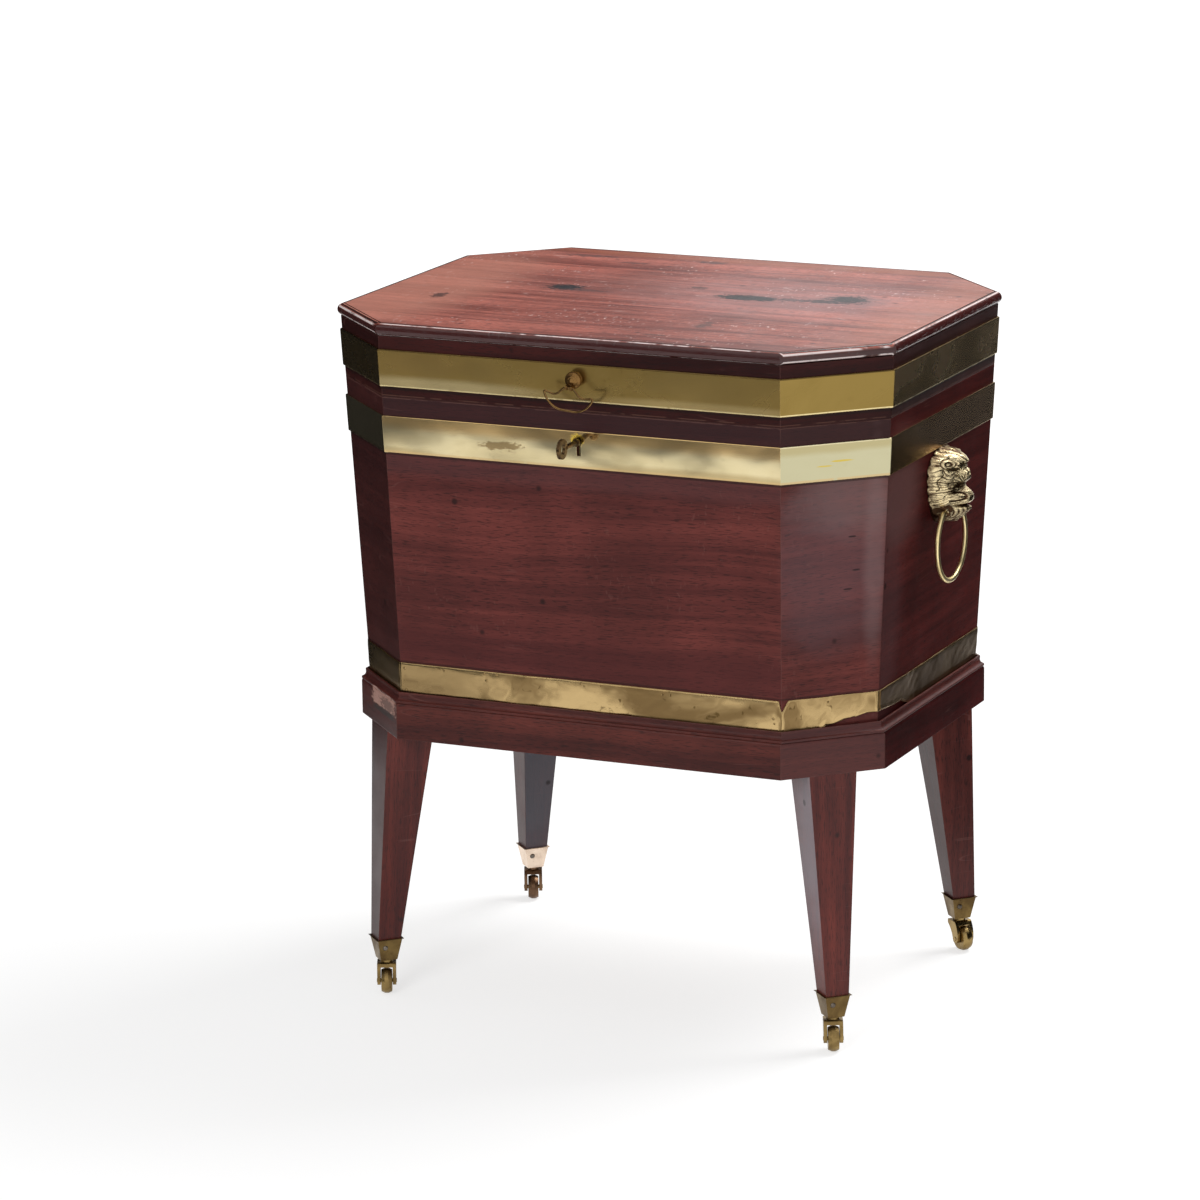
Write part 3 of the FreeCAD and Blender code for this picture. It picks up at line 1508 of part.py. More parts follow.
def build_top_board():
    """The lid's top: a board with a full rounded bead, set off by a narrow sunk quirk."""
    body = new_body("lid_top_board")
    reach = -face_inset(lid_underside()) + S.bead_projection

    def plan_at(inset):
        step = reach - inset
        return (S.chest_width / 2 + step, S.chest_depth / 2 + step,
                S.chest_cant + CANT_SHARE * step)

    board = pad(body, plan_sketch(body, "top_board_plan", 0.0, *plan_at(Size(0.0))), S.top_board)
    quirk = sketch_on(body, "quirk_plan", lift=S.top_board)
    plan_outline(quirk, *plan_at(S.quirk_inset))
    plan_outline(quirk, *plan_at(S.quirk_inset + S.quirk_width))
    outer = [float(value) for value in plan_at(Size(0.0))]
    corners = octagon(outer[0], outer[1], outer[2], 0)
    middles = [(corners[side] + corners[(side + 1) % 8]) * 0.5 for side in range(8)]

    def on_rim(edge):
        middle = edge.CenterOfMass
        flat = abs(edge.BoundBox.ZLength) < 1e-4
        return flat and min(math.hypot(middle.x - point.x, middle.y - point.y)
                            for point in middles) < 1e-3

    round_edges(body, board, S.bead_radius, on_rim)
    pocket(body, quirk, S.quirk_depth)
    placed(body, z=lid_underside())


def build_lid_band():
    low = joint() + S.lid_band_rise
    band = brass_band(low, low + S.band_height)
    part_from_shape("lid_band", band.cut(boss_hole()))


def build_link_plate():
    """A plate under the lid's front with two pierced staples that reach into the lock."""
    plate = link_plate_recess()
    middle = bolt_middle()
    top = lid_foot()
    y = (middle - S.staple_depth / 2, middle + S.staple_depth / 2)
    bolt_top = key_axis() + S.bolt_lift + S.bolt_height
    eye_low, eye_high = bolt_top + 2.5, bolt_top + 7.1
    low = eye_low - S.staple_rim
    eye_half = S.bolt_plate / 2 + 0.3
    pieces = []
    for span in staple_spans():
        staple = box_between(span, y, (low, top))
        eye = box_between((span[0] - 1, span[1] + 1), (middle - eye_half, middle + eye_half),
                          (eye_low, eye_high))
        pieces.append(staple.cut(eye))
    part_from_shape("link_plate", plate.multiFuse(pieces).removeSplitter())


def boss_profile(sketch, shank):
    """Half section of the turned knob along x: button, ringed dome, cove and flange."""
    r = S.boss_radius
    corners = [(-shank, Size(0.0)), (r * 1.60, Size(0.0)), (r * 1.45, r * 0.22),
               (r * 1.33, r * 0.35), (r * 1.08, r * 0.66), (r * 0.92, r * 0.93), (r * 0.67, r),
               (r * 0.25, r * 0.68), (r * 0.15, r * 0.82), (Size(0.0), r * 0.82),
               (Size(0.0), S.boss_shank_radius), (-shank, S.boss_shank_radius)]
    return outline(sketch, corners, {3: r * 0.5, 5: r * 0.4, 6: r * 0.48})


def ear_section(sketch):
    """Side view of the lugs that hold the bail, reaching from the dome to their round ends."""
    x, z, r = S.eye_reach, -S.eye_drop, S.eye_radius
    corners = [(x - 7.4, z + 3.6), (x - 7.0, z - 0.6), (x, z - r), (x + r, z), (x, z + r)]
    return outline(sketch, corners, {2: r, 3: r})


def build_lid_handle():
    """A turned knob with two lugs for the drop bail, held by a nut inside the lid."""
    body = new_body("lid_handle_boss")
    inner = S.band_thickness + S.lid_board
    shank = inner + S.handle_nut
    knob = boss_profile(sketch_on(body, "knob_profile", "XZ_Plane"), shank)
    revolve(body, knob, "H_Axis")
    lugs = ear_section(sketch_on(body, "lug_section", "XZ_Plane"))
    pad(body, lugs, 2 * (S.eye_spread + S.eye_width), symmetric=True)
    gap = sketch_on(body, "lug_gap", "XZ_Plane")
    x, z = S.eye_reach, -S.eye_drop
    rectangle(gap, x - S.eye_radius - 0.5, x + 2 * S.eye_radius, z - 2 * S.eye_radius,
              z + 2 * S.eye_radius)
    pocket(body, gap, 2 * S.eye_spread, symmetric=True)
    bore = circle(sketch_on(body, "lug_bore", "XZ_Plane"), x, z, S.bail_wire + S.shaft_gap)
    pocket(body, bore, 2 * (S.eye_spread + S.eye_width) + 1.0, symmetric=True)
    face = front_face(boss_level(), -S.band_thickness)
    turn = boss_place().Rotation
    placed(body, y=face, z=boss_level(), turn=turn)
    nut_body = new_body("lid_handle_nut")
    nut = sketch_on(nut_body, "handle_nut_section", "YZ_Plane", lift=-shank)
    side = S.handle_nut_radius * 0.7
    rectangle(nut, -side, side, -side, side)
    circle(nut, 0, 0, S.boss_shank_radius)
    pad(nut_body, nut, S.handle_nut)
    placed(nut_body, y=face, z=boss_level(), turn=turn)


def bail_pivot():
    """The middle of the bore in the knob's lugs."""
    return boss_place().multVec(Vector(float(S.eye_reach), 0, -float(S.eye_drop)))


def bail_axis():
    """The direction of that bore, from left to right."""
    return boss_place().Rotation.multVec(Vector(0, 1, 0))


def build_bail():
    """A thin drop handle: two hollow shoulders to sharp tips, and a round bow below."""
    half, wire = float(S.bail_width) / 2, float(S.bail_wire)
    tip, hollow, drop = float(S.bail_tip), float(S.bail_hollow), float(S.bail_drop)
    run = float(S.eye_spread + S.eye_width) + 1.1 * wire
    right = [(run, 0.0), (0.51 * half, -hollow), (half, -tip), (0.71 * half, -drop)]
    radii = [1.3 * wire, 0.33 * half, 1.3 * wire, 0.8 * half]
    points = [Vector(x, 0, z) for x, z in right]
    points += [Vector(-x, 0, z) for x, z in reversed(right)]
    path = rounded_path(points, radii + radii[::-1], closed=True)
    bail = wire_along(path, wire, 8)
    pivot, axis = bail_pivot(), bail_axis()
    upright = (Vector(0, 0, 1) - axis * axis.z).normalize()
    turn = Rotation(axis, upright.cross(axis), upright, "XZY")
    part_from_shape("lid_handle_bail", bail, x=pivot.x, y=pivot.y, z=pivot.z, turn=turn)


# ------------------------------------------------------------------ everything together


def build_chest():
    build_chest_boards()
    build_bottom_board()
    build_chest_bands()
    build_liner()
    build_dividers()
    build_lock_case()
    build_lock_bolt()
    build_key()
    build_hinges()
    for name, sign in (("left", -1), ("right", 1)):
        build_mask(name, sign)
        build_ring(name, sign)
    build_mask_nuts()


def build_lid():
    build_top_board()
    build_lid_boards()
    build_lid_band()
    build_link_plate()
    build_lid_handle()
    build_bail()


def check_and_write():
    """Stop at the first failed object or faulty shape, then write each sub-part."""
    DOC.recompute()
    for item in DOC.Objects:
        if "Invalid" in item.State or "Error" in item.State:
            raise ValueError("%s failed: %s" % (item.Label, item.State))
    for item in DOC.Objects:
        if item.TypeId in CUTTING_FEATURES:
            if item.BaseFeature.Shape.Volume - item.Shape.Volume < 1e-3:
                raise ValueError("%s cuts nothing" % item.Label)
    for node in NODES:
        if node.Shape.isNull() or not node.Shape.isValid() or not node.Shape.Solids:
            raise ValueError("%s has no valid solid" % node.Label)
    os.makedirs(PARTS_FOLDER, exist_ok=True)
    for node in NODES:
        node.Shape.exportStep(os.path.join(PARTS_FOLDER, node.Label + ".step"))
        print("%-28s %2d solids %12.1f mm3" % (node.Label, len(node.Shape.Solids),
                                               node.Shape.Volume))


build_stand()
build_chest()
build_lid()
check_and_write()
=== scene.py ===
"""A brass-bound mahogany cellarette, dressed over its fixed frame.

Each sub-assembly is a class that gives its pieces their finishes, and the chest also builds the
surfaces that the frame doesn't carry, from classes that hold their sizes as fields.  Lengths are
metres, x runs to the right, y to the back and z up from the floor.
"""

import logging
import math
from dataclasses import dataclass, field
from enum import Enum
from typing import Callable, ClassVar, Optional, Sequence, Union

import bpy
import numpy as np
from mathutils import Matrix, Vector


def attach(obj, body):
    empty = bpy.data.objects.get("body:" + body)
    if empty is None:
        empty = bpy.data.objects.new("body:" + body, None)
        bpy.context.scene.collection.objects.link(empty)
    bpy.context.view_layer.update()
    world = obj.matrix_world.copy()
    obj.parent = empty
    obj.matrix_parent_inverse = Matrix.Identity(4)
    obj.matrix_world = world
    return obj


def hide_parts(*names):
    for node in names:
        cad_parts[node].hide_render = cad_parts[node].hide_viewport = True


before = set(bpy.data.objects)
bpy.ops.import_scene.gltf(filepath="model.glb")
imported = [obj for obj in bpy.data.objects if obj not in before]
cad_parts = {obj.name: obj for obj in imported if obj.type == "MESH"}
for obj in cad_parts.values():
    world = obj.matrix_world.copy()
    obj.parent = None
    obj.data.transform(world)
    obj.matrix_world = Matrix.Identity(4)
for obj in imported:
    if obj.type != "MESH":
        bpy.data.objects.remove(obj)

LOG = logging.getLogger("cellarette")
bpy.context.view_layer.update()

Array = np.ndarray
Colour = tuple[float, float, float]
Socket = bpy.types.NodeSocket
Feed = Union[Socket, float, Sequence[float]]

FACE_STEP = 0.731
UPWARD = 9.0
FACE_MATCH = 0.3


# --------------------------------------------------------------------------------------------
# node trees
# --------------------------------------------------------------------------------------------


class Graph:
    """Places nodes in one shader tree and links them."""

    def __init__(self, tree: bpy.types.NodeTree) -> None:
        """Takes the tree that the nodes go into."""
        self.tree = tree
        self.count = 0

    def node(self, kind: str, **settings: object) -> bpy.types.Node:
        """Adds one node.

        Args:
            kind: the node's type name without its "ShaderNode" start.
            settings: properties of the node, set by name.

        Returns:
            The new node, placed beside the last one.
        """
        made = self.tree.nodes.new(kind if kind.startswith("Node") else "ShaderNode" + kind)
        for name, value in settings.items():
            setattr(made, name, value)
        made.location = (180 * (self.count % 12), -220 * (self.count // 12))
        self.count += 1
        return made

    def feed(self, target: Socket, source: Feed) -> None:
        """Links source to target, or sets it as the target's plain value.

        Args:
            target: an input socket.
            source: an output socket, a number, or a colour or vector of numbers.
        """
        if isinstance(source, bpy.types.NodeSocket):
            self.tree.links.new(source, target)
        elif isinstance(source, (int, float)):
            target.default_value = source
        else:
            values = tuple(source)
            wanted = len(target.default_value)
            target.default_value = values + (1.0,) if wanted == 4 and len(values) == 3 else values

    def maths(self, kind: str, first: Feed, second: Feed = 0.0, clamp: bool = False) -> Socket:
        """Returns the result of a Math node on one or two numbers."""
        made = self.node("Math", operation=kind, use_clamp=clamp)
        self.feed(made.inputs[0], first)
        self.feed(made.inputs[1], second)
        return made.outputs[0]

    def times(self, first: Feed, second: Feed) -> Socket:
        """Returns first * second."""
        return self.maths("MULTIPLY", first, second)

    def plus(self, first: Feed, second: Feed, clamp: bool = False) -> Socket:
        """Returns first + second, held between 0 and 1 where clamp is set."""
        return self.maths("ADD", first, second, clamp)

    def minus(self, first: Feed, second: Feed) -> Socket:
        """Returns first - second."""
        return self.maths("SUBTRACT", first, second)

    def swing(self, value: Feed, size: Feed, middle: float = 0.5) -> Socket:
        """Returns (value - middle) * size: a noise made to go both ways."""
        return self.times(self.minus(value, middle), size)

    def place(self) -> Socket:
        """Returns where a point is, in the object's own coordinates."""
        return self.node("TexCoord").outputs["Object"]

    def facing(self) -> tuple[Socket, Socket, Socket]:
        """Returns the x, y and z of the way the surface faces on the object."""
        return self.split(self.node("TexCoord").outputs["Normal"])

    def on_face(self, mask: Socket, along: Socket, face: float) -> Socket:
        """Returns a mask kept on the one face whose number is the third of its coordinates."""
        level = self.split(along)[2]
        off = self.maths("ABSOLUTE", self.minus(level, face))
        return self.times(mask, self.maths("LESS_THAN", off, FACE_MATCH))

    def seen_plainly(self) -> Socket:
        """Returns 1 for rays from the camera or by way of metal or glass, and else 0."""
        path = self.node("LightPath").outputs
        return self.maths("MAXIMUM", path["Is Camera Ray"], self.maths(
            "MAXIMUM", path["Is Glossy Ray"], path["Is Transmission Ray"]))

    def vector(self, kind: str, first: Feed, second: Feed = (0.0, 0.0, 0.0)) -> Socket:
        """Returns the result of a Vector Math node: the number for dot and length."""
        made = self.node("VectorMath", operation=kind)
        self.feed(made.inputs[0], first)
        if kind == "SCALE":
            self.feed(made.inputs["Scale"], second)
        elif kind not in ("LENGTH", "NORMALIZE"):
            self.feed(made.inputs[1], second)
        return made.outputs["Value" if kind in ("LENGTH", "DOT_PRODUCT", "DISTANCE") else "Vector"]

    def split(self, source: Feed) -> tuple[Socket, Socket, Socket]:
        """Returns the x, y and z of a vector."""
        made = self.node("SeparateXYZ")
        self.feed(made.inputs[0], source)
        return made.outputs[0], made.outputs[1], made.outputs[2]

    def join(self, x: Feed, y: Feed, z: Feed = 0.0) -> Socket:
        """Returns a vector made of three numbers."""
        made = self.node("CombineXYZ")
        for socket, value in zip(made.inputs, (x, y, z)):
            self.feed(socket, value)
        return made.outputs[0]

    def noise(self, where: Feed, scale: float, detail: float = 2.0, rough: float = 0.5,
              distortion: float = 0.0) -> Socket:
        """Returns a noise value of about 0 to 1, with its middle at 0.5."""
        made = self.node("TexNoise")
        for name, value in (("Vector", where), ("Scale", scale), ("Detail", detail),
                            ("Roughness", rough), ("Distortion", distortion)):
            self.feed(made.inputs[name], value)
        return made.outputs[0]

    def cells(self, where: Feed, scale: float) -> bpy.types.Node:
        """Returns a Voronoi node that gives the nearest cell's colour and distance."""
        made = self.node("TexVoronoi", feature="F1")
        self.feed(made.inputs["Vector"], where)
        self.feed(made.inputs["Scale"], scale)
        return made

    def ramp(self, value: Feed, low: Feed, high: Feed, start: Feed = 0.0,
             end: Feed = 1.0) -> Socket:
        """Returns start to end as value goes smoothly from low to high."""
        made = self.node("MapRange", interpolation_type="SMOOTHSTEP")
        for name, given in (("Value", value), ("From Min", low), ("From Max", high),
                            ("To Min", start), ("To Max", end)):
            self.feed(made.inputs[name], given)
        return made.outputs[0]

    def mix(self, share: Feed, first: Feed, second: Feed, kind: str = "MIX") -> Socket:
        """Returns first and second colour mixed by share."""
        made = self.node("Mix", data_type="RGBA", blend_type=kind)
        self.feed(made.inputs[0], share)
        self.feed(made.inputs[6], first)
        self.feed(made.inputs[7], second)
        return made.outputs[2]

    def bump(self, height: Feed, distance: float, normal: Optional[Socket] = None) -> Socket:
        """Returns the surface normal bent by a height, given in metres by distance."""
        made = self.node("Bump")
        self.feed(made.inputs["Height"], height)
        made.inputs["Distance"].default_value = distance
        made.inputs["Strength"].default_value = 1.0
        if normal is not None:
            self.feed(made.inputs["Normal"], normal)
        return made.outputs["Normal"]

    def group(self, made_by: Callable[[], bpy.types.NodeTree], **inputs: Feed) -> bpy.types.Node:
        """Places a shared node group and feeds its inputs by name ("_" stands for a space).

        The group is made by a function of the same name, the first time that it is needed.
        """
        tree = bpy.data.node_groups.get(made_by.__name__) or made_by()
        made = self.node("Group", node_tree=tree)
        for name, value in inputs.items():
            self.feed(made.inputs[name.replace("_", " ")], value)
        return made


def new_group(name: str, inputs: Sequence[tuple[str, str]],
              outputs: Sequence[tuple[str, str]]) -> tuple[bpy.types.NodeTree, Graph,
                                                           bpy.types.Node, bpy.types.Node]:
    """Starts a shader node group.

    Args:
        name: the group's name.
        inputs: (socket name, kind) pairs, where kind is "Float", "Vector" or "Color".
        outputs: the same for the outputs.

    Returns:
        The tree, a Graph on it, and its input and output nodes.
    """
    tree = bpy.data.node_groups.new(name, "ShaderNodeTree")
    for way, pairs in (("INPUT", inputs), ("OUTPUT", outputs)):
        for socket_name, kind in pairs:
            tree.interface.new_socket(socket_name, in_out=way, socket_type="NodeSocket" + kind)
    graph = Graph(tree)
    return tree, graph, graph.node("NodeGroupInput"), graph.node("NodeGroupOutput")


def face_frame() -> bpy.types.NodeTree:
    """Gives a flat piece's own coordinates.

    Along is (u, z, w): u runs level along the face, z up, and w is a number that differs from
    one of the eight directions to the next by FACE_STEP, so that no two faces share a pattern.
    On a face that looks up, Along is (x, y, UPWARD), and on one that looks down the last number
    is the opposite.
    """
    tree, g, _, out = new_group("face_frame", [], [("Along", "Vector")])
    nx, ny, nz = g.facing()
    x, y, z = g.split(g.place())
    level = g.maths("MAXIMUM", g.maths("SQRT", g.plus(
        g.times(nx, nx), g.times(ny, ny))), 0.0001)
    ex = g.maths("DIVIDE", nx, level)
    ey = g.maths("DIVIDE", ny, level)
    u = g.minus(g.times(y, ex), g.times(x, ey))
    turn = g.maths("ROUND", g.times(g.maths("ARCTAN2", ey, ex), 4.0 / math.pi))
    side = g.join(u, z, g.times(turn, FACE_STEP))
    upward = g.maths("GREATER_THAN", g.maths("ABSOLUTE", nz), 0.85)
    made = g.node("Mix", data_type="VECTOR")
    g.feed(made.inputs[0], upward)
    g.feed(made.inputs[4], side)
    g.feed(made.inputs[5], g.join(x, y, g.times(g.maths("SIGN", nz), UPWARD)))
    g.feed(out.inputs["Along"], made.outputs[1])
    return tree


def mahogany_figure() -> bpy.types.NodeTree:
    """The colour of mahogany: streaks along the grain, a soft cross figure, and dark pores.

    Grain is a vector whose x runs along the grain.  Streaks are a noise drawn out along x, the
    figure is a noise drawn out across it, and the pores are a fine noise, drawn out along x and
    cut off above a level.
    """
    tree, g, given, out = new_group(
        "mahogany_figure",
        [("Grain", "Vector"), ("Light", "Color"), ("Dark", "Color"), ("Pores", "Color"),
         ("Streak", "Float"), ("Pore Depth", "Float")],
        [("Color", "Color"), ("Height", "Float")])
    grain = given.outputs["Grain"]
    drift = g.noise(g.vector("MULTIPLY", grain, (2.0, 5.0, 1.0)), 1.0, 2.0, 0.5)
    bent = g.vector("ADD", grain, g.join(0.0, g.times(drift, 0.05), 0.0))
    wide = g.noise(g.vector("MULTIPLY", bent, (1.6, 26.0, 1.0)), 1.0, 3.0, 0.55)
    fine = g.noise(g.vector("MULTIPLY", bent, (5.0, 150.0, 4.0)), 1.0, 3.0, 0.6)
    cross = g.noise(g.vector("MULTIPLY", grain, (16.0, 5.0, 1.0)), 1.0, 2.0, 0.5)
    streaks = g.plus(g.times(wide, 0.6), g.times(fine, 0.4))
    sharp = g.ramp(streaks, 0.34, 0.66)
    sharp = g.plus(g.swing(sharp, given.outputs["Streak"]), 0.5, clamp=True)
    figure = g.ramp(cross, 0.3, 0.7, 0.86, 1.12)
    tone = g.mix(sharp, given.outputs["Dark"], given.outputs["Light"])
    tone = g.mix(1.0, tone, g.join(figure, figure, figure), "MULTIPLY")
    dash = g.noise(g.vector("MULTIPLY", bent, (110.0, 1100.0, 60.0)), 1.0, 1.0, 0.4)
    pore = g.times(g.ramp(dash, 0.56, 0.68), given.outputs["Pore Depth"])
    g.feed(out.inputs["Color"], g.mix(pore, tone, given.outputs["Pores"]))
    g.feed(out.inputs["Height"], g.minus(g.times(fine, 0.4), pore))
    return tree


def old_marks() -> bpy.types.NodeTree:
    """The marks of use: fine broken scratches, blots and small pits.

    A scratch runs where a drawn-out noise is near its middle, and it is broken by a second
    noise.  A blot is where a slow noise is high, a pit where a random cell's centre is near.
    """
    tree, g, given, out = new_group(
        "old_marks", [("Where", "Vector"), ("Size", "Float")],
        [("Scratches", "Float"), ("Blots", "Float"), ("Pits", "Float")])
    where = g.vector("SCALE", given.outputs["Where"], given.outputs["Size"])
    lines = []
    for turn, stretch in ((0.25, 11.0), (-0.7, 13.0), (1.45, 12.0)):
        turned = g.node("Mapping")
        g.feed(turned.inputs["Vector"], where)
        turned.inputs["Rotation"].default_value = (0.0, 0.0, turn)
        turned.inputs["Scale"].default_value = (1.6, 1.6 * stretch, 2.0)
        level = g.noise(turned.outputs[0], 4.0, 0.0, 0.4, 0.0)
        near = g.maths("ABSOLUTE", g.minus(level, 0.5))
        line = g.ramp(near, 0.0, 0.012, 1.0, 0.0)
        gate = g.ramp(g.noise(g.vector("ADD", where, (turn * 7.0, 3.0, 1.0)), 17.0, 2.0),
                      0.60, 0.70)
        lines.append(g.times(line, gate))
    g.feed(out.inputs["Scratches"],
           g.maths("MAXIMUM", lines[0], g.maths("MAXIMUM", lines[1], lines[2])))
    g.feed(out.inputs["Blots"], g.ramp(g.noise(where, 5.0, 4.0, 0.62, 0.4), 0.52, 0.72))
    cell = g.cells(where, 46.0)
    chosen = g.ramp(g.split(cell.outputs["Color"])[0], 0.86, 0.9)
    g.feed(out.inputs["Pits"], g.times(
        g.ramp(cell.outputs["Distance"], 0.08, 0.2, 1.0, 0.0), chosen))
    return tree


def rounded_edge() -> bpy.types.NodeTree:
    """A worn arris: the normal rounded over Radius, and a mask of where the edge is."""
    tree, g, given, out = new_group("rounded_edge", [("Radius", "Float")],
                                    [("Normal", "Vector"), ("Edge", "Float")])
    soft = g.node("Bevel", samples=6)
    g.feed(soft.inputs["Radius"], given.outputs["Radius"])
    flat = g.node("NewGeometry")
    match = g.vector("DOT_PRODUCT", soft.outputs[0], flat.outputs["True Normal"])
    g.feed(out.inputs["Normal"], soft.outputs[0])
    g.feed(out.inputs["Edge"], g.ramp(match, 0.985, 0.90))
    return tree


def brass_age() -> bpy.types.NodeTree:
    """Age on brass: a slow tarnish, brown spots, and the shallow dents of sheet metal."""
    tree, g, given, out = new_group(
        "brass_age", [("Where", "Vector"), ("Size", "Float")],
        [("Tarnish", "Float"), ("Spots", "Float"), ("Dents", "Float")])
    where = g.vector("SCALE", given.outputs["Where"], given.outputs["Size"])
    slow = g.noise(g.vector("MULTIPLY", where, (1.0, 1.6, 1.0)), 9.0, 4.0, 0.6, 0.5)
    g.feed(out.inputs["Tarnish"], g.ramp(slow, 0.36, 0.66))
    g.feed(out.inputs["Spots"], g.ramp(g.noise(where, 90.0, 3.0, 0.6), 0.62, 0.72))
    dents = g.noise(g.vector("MULTIPLY", where, (1.0, 1.4, 1.0)), 11.0, 1.5, 0.45, 0.3)
    g.feed(out.inputs["Dents"], dents)
    return tree


# --------------------------------------------------------------------------------------------
# finishes
# --------------------------------------------------------------------------------------------


class Grain(Enum):
    """Which way the grain of a wooden piece runs."""

    LEVEL = "along the face, level"
    UPRIGHT = "up the piece"


def new_material(name: str, colour: Colour, rough: float,
                 metallic: float = 0.0) -> tuple[bpy.types.Material, Graph, bpy.types.Node]:
    """Starts a material with one Principled shader.

    Args:
        name: the material's name.
        colour: its plain base colour.
        rough: its roughness.
        metallic: 1 for metal.

    Returns:
        The material, a Graph on its tree, and the Principled node.
    """
    material = bpy.data.materials.new(name)
    material.use_nodes = True
    material.diffuse_color = (*colour, 1.0)
    material.node_tree.nodes.clear()
    g = Graph(material.node_tree)
    out = g.node("OutputMaterial")
    shader = g.node("BsdfPrincipled")
    g.feed(out.inputs["Surface"], shader.outputs[0])
    g.feed(shader.inputs["Base Color"], colour)
    g.feed(shader.inputs["Roughness"], rough)
    g.feed(shader.inputs["Metallic"], metallic)
    return material, g, shader


class Facing(Enum):
    """The direction a face looks in, as the third number of its face coordinates."""

    FRONT_LEFT = -3 * FACE_STEP
    FRONT = -2 * FACE_STEP
    FRONT_RIGHT = -FACE_STEP
    RIGHT = 0.0
    UP = UPWARD


@dataclass(frozen=True)
class Patch:
    """A ragged patch of another tone on one face.  Some are stains, blooms, smudges and losses,
    and some are painted shade, painted sheen and painted reflections.

    It lies at x, y in face coordinates and has half-sizes.  Its edge is torn by a noise of the
    given fineness, and it fades in over the given softness.
    """

    facing: Facing
    x: float
    y: float
    wide: float
    deep: float
    tone: Colour = (0.022, 0.016, 0.018)
    strength: float = 1.0
    torn: float = 2.2
    fine: float = 60.0
    soft: float = 0.6
    square: bool = False

    def mask(self, g: Graph, along: Socket) -> Socket:
        """Returns how much of the patch is at each point.

        The distance from the middle is counted in half-sizes, as an ellipse or, for a square
        patch, as the larger of the two, and a noise is added to it.
        """
        off = g.vector("MULTIPLY", g.vector("SUBTRACT", along, (self.x, self.y, 0.0)),
                       (1.0 / self.wide, 1.0 / self.deep, 0.0))
        if self.square:
            across, up, _ = g.split(g.vector("ABSOLUTE", off))
            size = g.maths("MAXIMUM", across, up)
        else:
            size = g.vector("LENGTH", off)
        ragged = g.swing(g.noise(g.vector("MULTIPLY", along, (self.fine, 2.2 * self.fine, 1.0)),
                                 1.0, 4.0, 0.65), self.torn)
        inside = g.ramp(g.plus(size, ragged), 1.0 + self.soft / 2, 1.0 - self.soft / 2,
                        0.0, self.strength)
        return g.on_face(inside, along, self.facing.value)


def patches_on(facing: Facing, *rows: tuple) -> tuple[Patch, ...]:
    """Several patches on one face.

    Args:
        facing: the face that they all lie on.
        rows: each patch's other fields in their order, the lowest patch first.

    Returns:
        The patches, in the order of the rows.
    """
    return tuple(Patch(facing, *row) for row in rows)


@dataclass(frozen=True)
class Line:
    """A thin level line at one height: the dark ones are the shadows of joints, and the light ones
    are painted highlights along arrises and the edges of strips.

    Half is half its width.  Broken is how much of its length is missing, 0 to 1.
    """

    height: float
    half: float
    tone: Colour
    strength: float = 1.0
    broken: float = 0.0
    facing: Optional[Facing] = None

    def mask(self, g: Graph, along: Socket) -> Socket:
        """Returns how much of the line is at each point: 1 within half of its height."""
        u, v, level = g.split(along)
        wave = g.noise(g.join(g.times(u, 60.0), self.height * 900.0, level), 1.0, 3.0)
        reach = g.plus(g.maths("ABSOLUTE", g.minus(v, self.height)),
                       g.swing(wave, self.half * 0.8))
        made = g.ramp(reach, self.half * 1.35, self.half * 0.65, 0.0, self.strength)
        if self.broken > 0.0:
            cut = 0.5 + 0.35 * (self.broken - 0.5)
            made = g.times(made, g.ramp(wave, cut - 0.06, cut + 0.06))
        if self.facing is not None:
            made = g.on_face(made, along, self.facing.value)
        return made


@dataclass(frozen=True)
class Rim:
    """Lines that follow the edge of a board of canted rectangular plan.

    The distance out from the plan is the largest of three: past the long sides, past the short
    ones, and past the cut corners.
    """

    half_width: float
    half_depth: float
    cant: float
    middle: float
    lines: tuple[tuple[float, float, Colour, float, float], ...]

    def dress(self, g: Graph, colour: Socket) -> Socket:
        """Returns the colour with the lines laid over it.

        Each line is (distance out, half-width, tone, strength, share that is missing).
        """
        x, y, _ = g.split(g.vector("ABSOLUTE", g.vector(
            "SUBTRACT", g.place(), (0.0, self.middle, 0.0))))
        reach = self.half_width + self.half_depth - self.cant
        out = g.maths("MAXIMUM", g.minus(x, self.half_width), g.maths(
            "MAXIMUM", g.minus(y, self.half_depth), g.times(
                g.minus(g.plus(x, y), reach), math.sqrt(0.5))))
        wave = g.noise(g.place(), 38.0, 3.0, 0.6)
        for place, half, tone, strength, missing in self.lines:
            near = g.plus(g.maths("ABSOLUTE", g.minus(out, place)), g.swing(wave, half * 0.6))
            mask = g.ramp(near, half * 1.3, half * 0.7, 0.0, strength)
            if missing > 0.0:
                cut = 0.5 + 0.35 * (missing - 0.5)
                mask = g.times(mask, g.ramp(wave, cut - 0.08, cut + 0.08))
            colour = g.mix(mask, colour, tone)
        return colour


WOOD_EDGE = 0.0012
SHADED_LIE = (0.2, 0.9)


